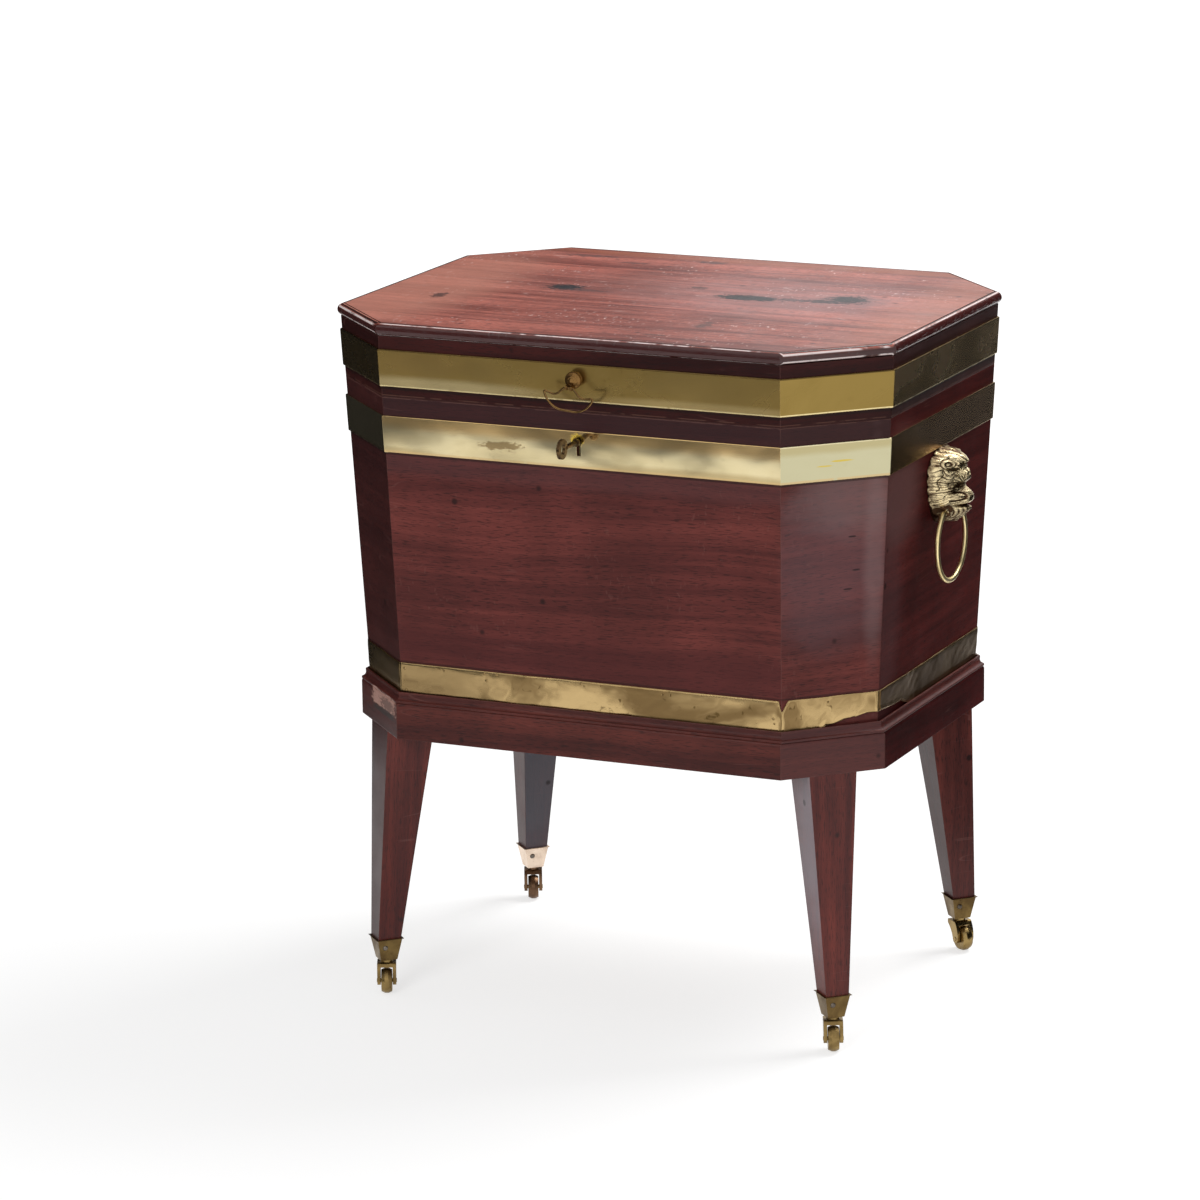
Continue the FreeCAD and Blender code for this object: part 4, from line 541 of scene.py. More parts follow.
@dataclass(frozen=True)
class Mahogany:
    """Polished mahogany: grain, pores, scratches, blots and rubbed edges, with painted shade on
    faces that don't look up where shade is set, and the patches and lines of each recipe laid over
    it.
    """

    name: str
    light: Colour
    dark: Colour
    pores: Colour = (0.010, 0.004, 0.004)
    grain: Grain = Grain.LEVEL
    rough: float = 0.42
    gloss: float = 0.3
    streak: float = 1.0
    pore_depth: float = 0.55
    blot: float = 0.5
    edge_light: float = 0.25
    scratch: Colour = (0.30, 0.14, 0.12)
    scratches: float = 0.35
    # Painted shade: the colour is multiplied by this on faces that don't look up.
    shade: float = 1.0
    patches: tuple[Patch, ...] = ()
    lines: tuple[Line, ...] = ()
    speckle: float = 0.0
    rim_rough: Optional[float] = None
    rim: Optional[Rim] = None

    def material(self) -> bpy.types.Material:
        """Builds the finish as a material."""
        made, g, shader = new_material(self.name, self.light, self.rough)
        along = g.group(face_frame).outputs["Along"]
        u, v, w = g.split(along)
        grain = along if self.grain is Grain.LEVEL else g.join(v, u, w)
        figure = g.group(mahogany_figure, Grain=grain, Light=self.light, Dark=self.dark,
                         Pores=self.pores, Streak=self.streak, Pore_Depth=self.pore_depth)
        marks = g.group(old_marks, Where=along, Size=1.0)
        colour = figure.outputs["Color"]
        blots = g.times(marks.outputs["Blots"], self.blot)
        colour = g.mix(blots, colour, self.dark)
        if self.speckle > 0.0:
            crumbs = g.ramp(g.noise(g.vector("MULTIPLY", grain, (240.0, 110.0, 9.0)), 1.0, 2.0,
                                    0.6), 0.60, 0.70, 0.0, self.speckle)
            gate = g.ramp(g.noise(g.vector("SCALE", along, 14.0), 1.0, 3.0, 0.6), 0.46, 0.66)
            colour = g.mix(g.times(crumbs, gate), colour, self.scratch)
        # Patches: stains and losses, and in some recipes painted shade and painted sheen.
        for patch in self.patches:
            colour = g.mix(patch.mask(g, along), colour, patch.tone)
        scratch = g.times(marks.outputs["Scratches"], self.scratches)
        colour = g.mix(scratch, colour, self.scratch)
        colour = g.mix(g.times(marks.outputs["Pits"], 0.8), colour, self.pores)
        edge = g.group(rounded_edge, Radius=WOOD_EDGE)
        rubbed = g.times(edge.outputs["Edge"], g.ramp(g.noise(
            g.vector("SCALE", along, 30.0), 1.0, 3.0, 0.6), 0.35, 0.65, 0.3, 1.0))
        colour = g.mix(g.times(rubbed, self.edge_light), colour, self.scratch)
        # Painted shade: faces that lean away from up are darkened towards the shade factor.
        if self.shade != 1.0:
            dim = g.ramp(g.facing()[2], *SHADED_LIE, self.shade, 1.0)
            colour = g.mix(1.0, colour, g.join(dim, dim, dim), "MULTIPLY")
        # Lines and the rim: joint shadows, and in some recipes painted highlights and painted
        # shade.
        for line in self.lines:
            colour = g.mix(line.mask(g, along), colour, line.tone)
        if self.rim is not None:
            colour = self.rim.dress(g, colour)
        g.feed(shader.inputs["Base Color"], colour)
        base: Feed = self.rough
        if self.rim_rough is not None:
            lie = g.maths("ABSOLUTE", g.facing()[2])
            base = g.ramp(lie, 0.93, 0.985, self.rim_rough, self.rough)
        g.feed(shader.inputs["Roughness"], g.plus(
            base, g.swing(g.noise(along, 24.0, 3.0, 0.6), 0.22), clamp=True))
        shader.inputs["Specular IOR Level"].default_value = self.gloss
        g.feed(shader.inputs["Normal"], g.bump(figure.outputs["Height"], 0.00007,
                                               edge.outputs["Normal"]))
        return made


BROWN_SPOT: Colour = (0.10, 0.060, 0.020)
KEYHOLE_WEAR: tuple[float, float, float] = (1.0 / 0.0070, 0.0, 1.0 / 0.0060)


@dataclass(frozen=True)
class SheetBrass:
    """Rolled brass strip with tarnish, dents that bend its reflections, and brown spots, and in
    some recipes painted reflections and painted highlights laid on as patches and lines.
    """

    name: str
    bright: Colour
    dull: Colour
    rough: float = 0.25
    dull_rough: float = 0.42
    dent: float = 0.0012
    tarnish: float = 0.8
    spots: float = 0.6
    keyhole: Optional[tuple[float, float]] = None
    brush: float = 0.00002
    side_rough: float = 0.0
    patches: tuple[Patch, ...] = ()
    lines: tuple[Line, ...] = ()

    def material(self) -> bpy.types.Material:
        """Builds the finish as a material."""
        made, g, shader = new_material(self.name, self.bright, self.rough, 1.0)
        along = g.group(face_frame).outputs["Along"]
        age = g.group(brass_age, Where=along, Size=1.0)
        tarnish = g.times(age.outputs["Tarnish"], self.tarnish)
        spots = g.times(age.outputs["Spots"], self.spots)
        colour = g.mix(tarnish, self.bright, self.dull)
        colour = g.mix(spots, colour, BROWN_SPOT)
        # Patches: tarnish marks and scratches, and in some recipes painted reflections that give a
        # whole face another tone.
        for patch in self.patches:
            colour = g.mix(patch.mask(g, along), colour, patch.tone)
        edge = g.group(rounded_edge, Radius=0.0008)
        colour = g.mix(g.times(edge.outputs["Edge"], 0.45), colour, self.bright)
        # Lines: in some recipes painted highlights along the strip's edges.
        for line in self.lines:
            colour = g.mix(line.mask(g, along), colour, line.tone)
        rough = g.ramp(tarnish, 0.0, 1.0, self.rough, self.dull_rough)
        if self.side_rough > 0.0:
            lie = g.maths("ABSOLUTE", g.facing()[0])
            rough = g.maths("MAXIMUM", rough, g.ramp(lie, 0.85, 0.95, 0.0, self.side_rough))
        if self.keyhole is not None:
            off = g.vector("SUBTRACT", g.place(), (self.keyhole[0], 0.0, self.keyhole[1]))
            reach = g.vector("LENGTH", g.vector("MULTIPLY", off, KEYHOLE_WEAR))
            ragged = g.plus(reach, g.swing(g.noise(along, 420.0, 3.0, 0.7), 2.0))
            front = g.maths("LESS_THAN", g.facing()[1], -0.5)
            worn = g.times(g.ramp(ragged, 1.15, 0.75), front)
            colour = g.mix(worn, colour, (0.95, 0.66, 0.10))
            dark = g.times(g.ramp(ragged, 0.62, 0.42), front)
            colour = g.mix(dark, colour, (0.16, 0.09, 0.02))
            rough = g.plus(rough, g.times(worn, 0.15))
        g.feed(shader.inputs["Base Color"], colour)
        brushed = g.noise(g.vector("MULTIPLY", along, (60.0, 1400.0, 1.0)), 1.0, 2.0)
        g.feed(shader.inputs["Roughness"], g.plus(
            rough, g.swing(brushed, min(0.12, self.brush * 6000.0))))
        normal = g.bump(age.outputs["Dents"], self.dent, edge.outputs["Normal"])
        g.feed(shader.inputs["Normal"], g.bump(brushed, self.brush, normal))
        return made


@dataclass(frozen=True)
class CastMetal:
    """Cast and turned metal: bright on its edges, where it is rubbed, and dark where it is
    tarnished and stained.
    """

    name: str
    bright: Colour
    dull: Colour
    rough: float = 0.28
    tarnish: float = 0.6
    spots: float = 0.6
    grainy: float = 0.00006

    def material(self) -> bpy.types.Material:
        """Builds the finish as a material."""
        made, g, shader = new_material(self.name, self.bright, self.rough, 1.0)
        where = g.place()
        age = g.group(brass_age, Where=where, Size=3.5)
        colour = g.mix(g.times(age.outputs["Tarnish"], self.tarnish), self.bright, self.dull)
        colour = g.mix(g.times(age.outputs["Spots"], self.spots), colour, self.dull)
        edge = g.group(rounded_edge, Radius=0.0005)
        colour = g.mix(g.times(edge.outputs["Edge"], 0.5), colour, self.bright)
        g.feed(shader.inputs["Base Color"], colour)
        skin = g.noise(where, 420.0, 3.0, 0.6)
        g.feed(shader.inputs["Roughness"],
               g.plus(self.rough, g.times(age.outputs["Tarnish"], 0.18)))
        g.feed(shader.inputs["Normal"], g.bump(skin, self.grainy, edge.outputs["Normal"]))
        return made


@dataclass(frozen=True)
class ReliefBrass:
    """Chased brass in relief: pale on what stands out, brown in the cut hollows and in painted
    shade.

    The hollows and the painted shade come from the "hollow" attribute of the piece, 1 at the
    bottom of a cut.
    """

    name: str
    bright: Colour
    dull: Colour
    rough: float = 0.3

    def material(self) -> bpy.types.Material:
        """Builds the finish as a material."""
        made, g, shader = new_material(self.name, self.bright, self.rough, 1.0)
        where = g.place()
        hollow = g.node("Attribute", attribute_name="hollow").outputs["Fac"]
        stain = g.noise(where, 130.0, 3.0, 0.65)
        depth = g.plus(hollow, g.swing(stain, 1.3, 0.45))
        colour = g.mix(g.ramp(depth, 0.0, 0.80), self.bright, self.dull)
        g.feed(shader.inputs["Base Color"], colour)
        g.feed(shader.inputs["Roughness"], g.ramp(depth, 0.1, 0.9, self.rough, self.rough + 0.3))
        g.feed(shader.inputs["Normal"], g.bump(g.noise(where, 480.0, 3.0, 0.7), 0.00035))
        return made


@dataclass(frozen=True)
class PlainWood:
    """Unpolished wood: a soft even grain and a little dirt."""

    name: str
    light: Colour
    dark: Colour
    rough: float = 0.7

    def material(self) -> bpy.types.Material:
        """Builds the finish as a material."""
        made, g, shader = new_material(self.name, self.light, self.rough)
        along = g.group(face_frame).outputs["Along"]
        figure = g.group(mahogany_figure, Grain=along, Light=self.light, Dark=self.dark,
                         Pores=tuple(0.5 * c for c in self.dark), Streak=1.0, Pore_Depth=0.4)
        dirt = g.noise(along, 14.0, 4.0, 0.6)
        g.feed(shader.inputs["Base Color"], g.mix(
            g.ramp(dirt, 0.45, 0.8, 0.0, 0.5), figure.outputs["Color"], self.dark))
        g.feed(shader.inputs["Roughness"], g.ramp(dirt, 0.2, 0.8, self.rough - 0.1,
                                                  self.rough + 0.1))
        g.feed(shader.inputs["Normal"], g.bump(figure.outputs["Height"], 0.00015))
        return made


@dataclass(frozen=True)
class SheetLead:
    """Dull sheet lead with whitish bloom and the marks of the dresser."""

    name: str
    bright: Colour = (0.30, 0.31, 0.33)
    bloom: Colour = (0.50, 0.51, 0.52)

    def material(self) -> bpy.types.Material:
        """Builds the finish as a material."""
        made, g, shader = new_material(self.name, self.bright, 0.55, 0.6)
        where = g.place()
        age = g.group(brass_age, Where=where, Size=1.0)
        marks = g.group(old_marks, Where=where, Size=1.5)
        colour = g.mix(age.outputs["Tarnish"], self.bright, self.bloom)
        colour = g.mix(marks.outputs["Scratches"], colour, (0.55, 0.56, 0.58))
        g.feed(shader.inputs["Base Color"], colour)
        g.feed(shader.inputs["Roughness"], g.ramp(age.outputs["Tarnish"], 0.0, 1.0, 0.45, 0.7))
        g.feed(shader.inputs["Normal"], g.bump(age.outputs["Dents"], 0.0015))
        return made


JOINT_SHADOW: Colour = (0.010, 0.005, 0.004)
CHEST_WOOD = Mahogany(
    "chest_mahogany", light=(0.156, 0.0345, 0.0285), dark=(0.074, 0.0155, 0.0140),
    rough=0.45, gloss=0.16, blot=0.45, scratches=0.10, speckle=0.10, patches=(
        patches_on(Facing.FRONT_RIGHT,
            # Painted sheen: pale lilac glare on the front right cant.
            (0.0800, 0.535, 0.055, 0.032, (0.26, 0.190, 0.185), 0.34, 1.0, 14.0, 1.1),
            (0.0500, 0.470, 0.060, 0.070, (0.19, 0.135, 0.155), 0.24, 1.0, 14.0, 1.1),
            (0.0800, 0.4985, 0.0040, 0.0010, (0.016, 0.010, 0.012), 0.8, 1.5, 160.0, 0.5),
            (0.0840, 0.4660, 0.0040, 0.0009, (0.016, 0.010, 0.012), 0.8, 1.5, 160.0, 0.5),
            (0.0760, 0.4480, 0.0050, 0.0009, (0.016, 0.010, 0.012), 0.7, 1.5, 160.0, 0.5),
            # Painted shade: a dark strip on the wood just under the lid.
            (0.0, 0.600, 1.0, 0.013, (0.026, 0.0110, 0.0120), 0.80, 0.3, 9.0, 0.6),
            # Painted sheen: a narrow pale streak of glare on the front right cant.
            (0.1030, 0.485, 0.010, 0.090, (0.27, 0.180, 0.180), 0.32, 1.1, 16.0, 1.1)) +
        patches_on(Facing.FRONT,
            # Painted shade: a dark strip on the wood just under the lid.
            (0.0, 0.600, 1.0, 0.013, (0.022, 0.0080, 0.0095), 0.85, 0.3, 9.0, 0.6),
            (0.0, 0.546, 0.50, 0.012, (0.060, 0.026, 0.028), 0.5, 0.8, 12.0, 1.2),
            (0.0, 0.365, 0.50, 0.022, (0.080, 0.016, 0.016), 0.40, 0.8, 9.0, 1.2),
            (0.2150, 0.440, 0.012, 0.12, (0.150, 0.070, 0.070), 0.3, 0.8, 20.0, 1.2)) +
        patches_on(Facing.FRONT_LEFT,
            # Painted shade: the whole front left cant is darkened, as it faces away from the
            # light.
            (0.0, 0.45, 1.0, 1.0, (0.020, 0.0060, 0.0065), 0.72, 0.5, 9.0))), lines=(
        # Painted highlight: a light line along the chest's top edge.
        Line(0.6078, 0.0005, (0.110, 0.050, 0.040), 0.6, 0.3),
        Line(0.5530, 0.0010, JOINT_SHADOW, 0.6), Line(0.3465, 0.0009, JOINT_SHADOW, 0.5)))
# Painted shade: the lid's side boards take a much darker copy of the chest's mahogany, for the
# shade under the top board's bead.
PAINTED_SHADE_LID_WOOD = Mahogany(
    "painted_shade_lid_mahogany", light=(0.044, 0.0085, 0.0075), dark=(0.020, 0.0042, 0.0040),
    rough=0.40, gloss=0.12, scratches=0.15, lines=(
        # Painted highlight: a light line on the small bead along the lid's lower edge.
        Line(0.6104, 0.0005, (0.120, 0.055, 0.040), 0.6, 0.35),
        Line(0.6172, 0.0012, JOINT_SHADOW, 0.6)))
# Painted shade: the chest's sides take a darker, duller copy of the chest's mahogany, for the
# shade on the sides.
PAINTED_SHADE_SIDE_WOOD = Mahogany(
    "painted_shade_side_mahogany", light=(0.082, 0.0118, 0.0105), dark=(0.038, 0.0055, 0.0052),
    rough=0.55, gloss=0.02, scratches=0.10, patches=(
        patches_on(Facing.RIGHT,
            (-0.085, 0.530, 0.050, 0.050, (0.115, 0.054, 0.050), 0.70, 0.8, 9.0, 1.2),
            (-0.100, 0.420, 0.030, 0.120, (0.080, 0.038, 0.040), 0.35, 0.8, 9.0, 1.2))))
# Painted shade: on the top, the shade factor darkens the bead's sides and the board's edges, which
# don't look up.
TOP_WOOD = Mahogany(
    "top_mahogany", light=(0.43, 0.128, 0.094), dark=(0.150, 0.032, 0.023),
    pores=(0.085, 0.025, 0.023), rough=0.42, gloss=0.45, blot=0.36, streak=1.60, pore_depth=1.0,
    scratch=(0.70, 0.50, 0.46), scratches=0.45, edge_light=0.1, shade=0.22, speckle=1.1,
    rim_rough=0.14, patches=(
        patches_on(Facing.UP,
            (-0.245, -0.02, 0.070, 0.20, (0.56, 0.235, 0.172), 0.60, 0.8, 9.0, 1.0),
            (0.265, 0.05, 0.045, 0.20, (0.42, 0.150, 0.095), 0.45, 0.8, 9.0, 1.0),
            (0.02, 0.223, 0.26, 0.014, (0.36, 0.110, 0.058), 0.6, 0.8, 14.0, 0.8),
            # Partly wax bloom and partly painted sheen: a pale lilac haze in the middle of the
            # top.
            (0.110, 0.050, 0.130, 0.085, (0.40, 0.225, 0.225), 0.36, 1.8, 30.0, 1.3),
            (-0.05, 0.060, 0.140, 0.060, (0.30, 0.115, 0.095), 0.30, 1.6, 24.0, 1.3),
            (0.170, 0.060, 0.036, 0.026, (0.17, 0.105, 0.110), 0.55, 2.4, 70.0, 0.9),
            (-0.117, 0.032, 0.017, 0.013, (0.012, 0.011, 0.014), 1.0, 4.2, 150.0, 0.2),
            (-0.090, 0.024, 0.026, 0.005, (0.050, 0.028, 0.030), 0.6, 3.0, 120.0, 0.4),
            (0.074, 0.0415, 0.034, 0.012, (0.013, 0.011, 0.013), 1.0, 3.0, 110.0, 0.3),
            (0.118, 0.046, 0.020, 0.007, (0.050, 0.035, 0.040), 0.8, 3.0, 110.0, 0.4),
            (0.166, 0.064, 0.020, 0.018, (0.016, 0.013, 0.016), 1.0, 4.2, 130.0, 0.25),
            (0.148, 0.048, 0.018, 0.008, (0.030, 0.020, 0.022), 0.9, 3.6, 130.0, 0.3),
            (-0.165, 0.200, 0.030, 0.006, (0.060, 0.030, 0.030), 0.7, 3.8, 120.0, 0.4),
            (-0.107, 0.177, 0.016, 0.004, (0.045, 0.022, 0.022), 0.7, 3.8, 120.0, 0.4),
            (-0.032, 0.205, 0.014, 0.006, (0.045, 0.022, 0.022), 0.7, 3.8, 120.0, 0.4),
            (-0.214, -0.049, 0.006, 0.012, (0.035, 0.018, 0.018), 0.8, 3.8, 120.0, 0.4),
            (0.008, 0.074, 0.010, 0.006, (0.055, 0.026, 0.024), 0.7, 3.8, 120.0, 0.4),
            (0.088, -0.100, 0.006, 0.018, (0.070, 0.030, 0.026), 0.7, 3.8, 120.0, 0.4),
            (0.064, -0.162, 0.012, 0.004, (0.070, 0.030, 0.026), 0.6, 3.8, 120.0, 0.4))),
    rim=Rim(0.2834, 0.2173, 0.0758, 0.02005, (
        (0.0003, 0.0009, (0.020, 0.006, 0.006), 0.95, 0.0),
        # Painted highlight: a pale line along the bead's crest.
        (0.0024, 0.0006, (0.92, 0.80, 0.78), 0.85, 0.32),
        # Painted shade: a dark band on the bead's underside.
        (0.0048, 0.0016, (0.045, 0.009, 0.009), 0.90, 0.0))))
LOSS: tuple[float, float, float, float] = (-0.0460, 0.2985, 0.033, 0.0085)
STAND_WOOD = Mahogany(
    "stand_mahogany", light=(0.124, 0.027, 0.020), dark=(0.052, 0.0110, 0.0095),
    rough=0.42, gloss=0.20, blot=0.3, scratches=0.15, patches=(
        patches_on(Facing.FRONT_RIGHT,
            (0.05, 0.290, 0.2, 0.1, (0.120, 0.050, 0.050), 0.35, 0.6, 9.0)) +
        patches_on(Facing.FRONT_LEFT,
            # Painted shade: the stand's front left faces are darkened all over.
            (0.0, 0.290, 1.0, 0.2, (0.030, 0.010, 0.010), 0.45, 0.5, 9.0),
            (LOSS[0], LOSS[1], LOSS[2], LOSS[3], (0.44, 0.25, 0.20), 0.90, 1.2, 150.0, 0.3, True),
            (LOSS[0] + 0.010, LOSS[1] - 0.002, LOSS[2] * 0.6, LOSS[3] * 0.8,
             (0.110, 0.060, 0.050), 0.75, 3.6, 220.0, 0.4),
            (LOSS[0], LOSS[1] - LOSS[3] * 1.25, LOSS[2], LOSS[3] * 0.35, (0.030, 0.020, 0.018),
             0.85, 0.9, 90.0, 0.4, True))))
# Painted shade: the stand's side rails take a darker, duller copy of the stand's mahogany.
PAINTED_SHADE_STAND_SIDE_WOOD = Mahogany(
    "painted_shade_stand_side_mahogany", light=(0.054, 0.0065, 0.0065), dark=(0.026, 0.0032, 0.0032),
    rough=0.55, gloss=0.02, scratches=0.08)
LEG_WOOD = Mahogany(
    "leg_mahogany", light=(0.172, 0.032, 0.023), dark=(0.068, 0.0125, 0.0110),
    grain=Grain.UPRIGHT, rough=0.38, gloss=0.28, blot=0.4, scratches=0.2, patches=(
        patches_on(Facing.FRONT_LEFT,
            # Painted shade: the legs' front left faces are darkened, in two bands.
            (-0.05, 0.15, 0.12, 1.0, (0.020, 0.0020, 0.0022), 0.75, 0.3, 9.0),
            (-0.32, 0.15, 0.12, 1.0, (0.030, 0.0120, 0.0140), 0.60, 0.3, 9.0),
            # Painted reflection: a pale lilac glare on the front right leg's front left face.
            (0.29, 0.200, 0.060, 0.095, (0.33, 0.305, 0.35), 0.50, 0.8, 12.0, 1.2)) +
        patches_on(Facing.FRONT_RIGHT,
            # Painted reflection: a pale lilac glare on the back left leg's front right face.
            (-0.035, 0.17, 0.040, 0.14, (0.115, 0.125, 0.150), 0.75, 0.6, 12.0, 1.0))))
LID_BRASS = SheetBrass(
    "lid_band_brass", bright=(0.41, 0.280, 0.094), dull=(0.295, 0.196, 0.058),
    rough=0.22, dull_rough=0.30, dent=0.0005, tarnish=0.9, spots=0.20, brush=0.000001, patches=(
        patches_on(Facing.RIGHT,
            # Painted reflection: the band's right face is given a paler tone.
            (0.0, 0.637, 1.0, 0.1, (0.62, 0.42, 0.17), 0.85, 0.5, 9.0)) +
        patches_on(Facing.FRONT_RIGHT,
            # Painted reflection: the front right cant is given a darker tone.
            (0.06, 0.637, 0.3, 0.1, (0.245, 0.166, 0.044), 0.75, 0.5, 9.0)) +
        patches_on(Facing.FRONT,
            # Painted reflection: pale streaks along the lower edge of the front.
            (-0.150, 0.6235, 0.100, 0.0060, (0.84, 0.70, 0.38), 0.55, 0.5, 9.0, 1.2),
            (0.130, 0.6225, 0.090, 0.0045, (0.80, 0.62, 0.30), 0.40, 0.5, 9.0, 1.2),
            (-0.16, 0.645, 0.040, 0.012, (0.36, 0.235, 0.080), 0.5, 0.6, 10.0, 1.2))),
    # Painted highlight: a pale line along the band's lower edge.
    lines=(Line(0.6197, 0.0009, (0.92, 0.76, 0.40), 0.85, 0.1),
           Line(0.6545, 0.0006, (0.10, 0.060, 0.020), 0.8)))
UPPER_BRASS = SheetBrass(
    "upper_band_brass", bright=(0.74, 0.63, 0.375), dull=(0.61, 0.48, 0.24),
    rough=0.07, dull_rough=0.12, dent=0.0005, tarnish=0.5, spots=0.12, brush=0.000001,
    side_rough=0.24,
    keyhole=(-0.0012, 0.5822), patches=(
        patches_on(Facing.RIGHT,
            # Painted reflection: the band's right face is given a browner tone.
            (0.0, 0.572, 1.0, 0.1, (0.56, 0.33, 0.15), 0.85, 0.5, 9.0)) +
        patches_on(Facing.FRONT_RIGHT,
            # Painted reflection: the front right cant is given a paler tone.
            (0.06, 0.572, 0.3, 0.1, (0.50, 0.48, 0.31), 0.80, 0.5, 9.0),
            (0.06, 0.5885, 0.3, 0.0065, (0.42, 0.34, 0.15), 0.60, 0.9, 14.0, 1.0),
            (0.066, 0.5730, 0.011, 0.0009, (0.62, 0.44, 0.04), 0.80, 1.2, 90.0, 0.5),
            (0.050, 0.5690, 0.007, 0.0008, (0.62, 0.44, 0.04), 0.70, 1.2, 90.0, 0.5)) +
        patches_on(Facing.FRONT,
            (0.0, 0.5885, 0.50, 0.0095, (0.74, 0.48, 0.19), 0.75, 0.8, 12.0, 1.0),
            (0.13, 0.5565, 0.12, 0.0050, (0.44, 0.33, 0.155), 0.70, 0.7, 10.0, 1.0),
            (-0.20, 0.5565, 0.05, 0.0040, (0.44, 0.33, 0.155), 0.60, 0.7, 10.0, 1.0),
            (-0.080, 0.5700, 0.018, 0.0038, (0.26, 0.17, 0.07), 0.8, 3.4, 120.0, 0.5))),
    # Painted highlight: a bright line along the band's top edge, on the cant only.
    lines=(Line(0.5900, 0.0006, (0.95, 0.85, 0.55), 0.7, 0.1, Facing.FRONT_RIGHT),
           Line(0.5556, 0.0013, (0.62, 0.42, 0.19), 0.6, 0.1)))
LOWER_BRASS = SheetBrass(
    "lower_band_brass", bright=(0.58, 0.41, 0.19), dull=(0.20, 0.125, 0.050),
    rough=0.20, dull_rough=0.40, dent=0.0022, tarnish=0.95, spots=0.8, patches=(
        patches_on(Facing.FRONT,
            (-0.175, 0.328, 0.075, 0.05, (0.13, 0.080, 0.034), 0.55, 0.8, 14.0, 1.0)) +
        patches_on(Facing.RIGHT,
            # Painted reflection: the strip's right face is given a darker brown tone.
            (0.0, 0.328, 1.0, 0.2, (0.15, 0.078, 0.026), 0.75, 0.5, 9.0))),
    side_rough=0.4)
CASTOR_BRASS = CastMetal("castor_brass", (0.34, 0.235, 0.090), (0.075, 0.042, 0.016), 0.22)
SOCKET_BRASS = CastMetal("socket_brass", (0.190, 0.125, 0.045), (0.070, 0.038, 0.016), 0.32,
                         spots=0.7)
MASK_BRASS = ReliefBrass("mask_brass", (0.84, 0.69, 0.41), (0.085, 0.044, 0.022), 0.26)
RING_BRASS = CastMetal("ring_brass", (0.96, 0.80, 0.43), (0.64, 0.48, 0.20), 0.30, tarnish=0.45,
                       spots=0.25)
HANDLE_BRASS = CastMetal("handle_brass", (0.27, 0.155, 0.058), (0.060, 0.032, 0.013), 0.14,
                         tarnish=0.9)
BOSS_BRASS = CastMetal("boss_brass", (0.25, 0.135, 0.044), (0.042, 0.021, 0.008), 0.16,
                       tarnish=0.8, grainy=0.0004)
PALE_BRASS = CastMetal("pale_brass", (0.86, 0.70, 0.56), (0.42, 0.29, 0.20), 0.40, tarnish=0.4,
                       spots=0.5)
BROWN_BRASS = CastMetal("brown_brass", (0.20, 0.115, 0.065), (0.050, 0.026, 0.018), 0.30)
HINGE_BRASS = CastMetal("hinge_brass", (0.48, 0.37, 0.16), (0.20, 0.13, 0.05), 0.38)
KEY_METAL = CastMetal("key_metal", (0.14, 0.085, 0.038), (0.030, 0.017, 0.009), 0.20, tarnish=0.9)
SCREW_IRON = CastMetal("screw_iron", (0.22, 0.19, 0.16), (0.05, 0.035, 0.025), 0.42)
INNER_WOOD = PlainWood("inner_oak", (0.42, 0.27, 0.15), (0.24, 0.14, 0.07))
LEAD = SheetLead("sheet_lead")


def dress(nodes: Sequence[str], finish: bpy.types.Material) -> None:
    """Gives a finish to frame nodes by name.

    Args:
        nodes: names of frame nodes.
        finish: the material that takes every slot of each node.
    """
    for name in nodes:
        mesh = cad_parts[name].data
        if not mesh.materials:
            mesh.materials.append(finish)
        for index in range(len(mesh.materials)):
            mesh.materials[index] = finish
        LOG.info("dressed %s with %s", name, finish.name)


# --------------------------------------------------------------------------------------------
# surfaces
# --------------------------------------------------------------------------------------------


@dataclass(frozen=True)
class ChestPlan:
    """The chest's eight sides, which all lean in by the same slope as they go down."""

    half_width: float = 0.2828
    half_depth: float = 0.2168
    cant: float = 0.0785
    height: float = 0.6085
    slope: float = 0.0542
    middle: float = 0.02005

    def corners(self, z: Array, out: Array) -> Array:
        """The eight corners of the plan.

        A face moves in by slope * (height - z) - out, and a corner's cut shrinks by 2 - sqrt 2
        times that.

        Args:
            z: heights.
            out: how far the surface stands out from the wood, of the same shape as z.

        Returns:
            An array of z's shape + (8, 2): x and y of the corners, from the front left one.
        """
        inset = self.slope * (self.height - z) - out
        a = self.half_width - inset
        b = self.half_depth - inset
        c = self.cant - inset * (2.0 - math.sqrt(2.0))
        x = np.stack([-(a - c), a - c, a, a, a - c, -(a - c), -a, -a], axis=-1)
        y = np.stack([-b, -b, -(b - c), b - c, b, b, b - c, -(b - c)], axis=-1)
        return np.stack([x, y + self.middle], axis=-1)

    def columns(self, spacing: float) -> tuple[Array, Array]:
        """Where the columns of a strip round the chest stand.

        Args:
            spacing: the distance from one to the next.

        Returns:
            The side of each column, 0 to 7 from the front, and its share of that side.
        """
        flat = self.corners(np.array(self.height - 0.28), np.array(0.0))
        lengths = np.linalg.norm(np.roll(flat, -1, axis=0) - flat, axis=1)
        counts = np.maximum(2, np.round(lengths / spacing)).astype(int)
        sides = np.repeat(np.arange(8), counts)
        shares = np.concatenate([np.linspace(0.0, 1.0, n, endpoint=False) for n in counts])
        return sides, shares

    def points(self, sides: Array, shares: Array, z: Array, out: Array) -> Array:
        """Points on the leaning sides: each lies between its side's two corners by its share."""
        every = self.corners(z, out)
        index = np.broadcast_to(sides, z.shape)[..., None, None]
        start = np.take_along_axis(every, index, axis=-2)[..., 0, :]
        end = np.take_along_axis(every, (index + 1) % 8, axis=-2)[..., 0, :]
        share = np.broadcast_to(shares, z.shape)[..., None]
        return np.concatenate([start + (end - start) * share, z[..., None]], axis=-1)


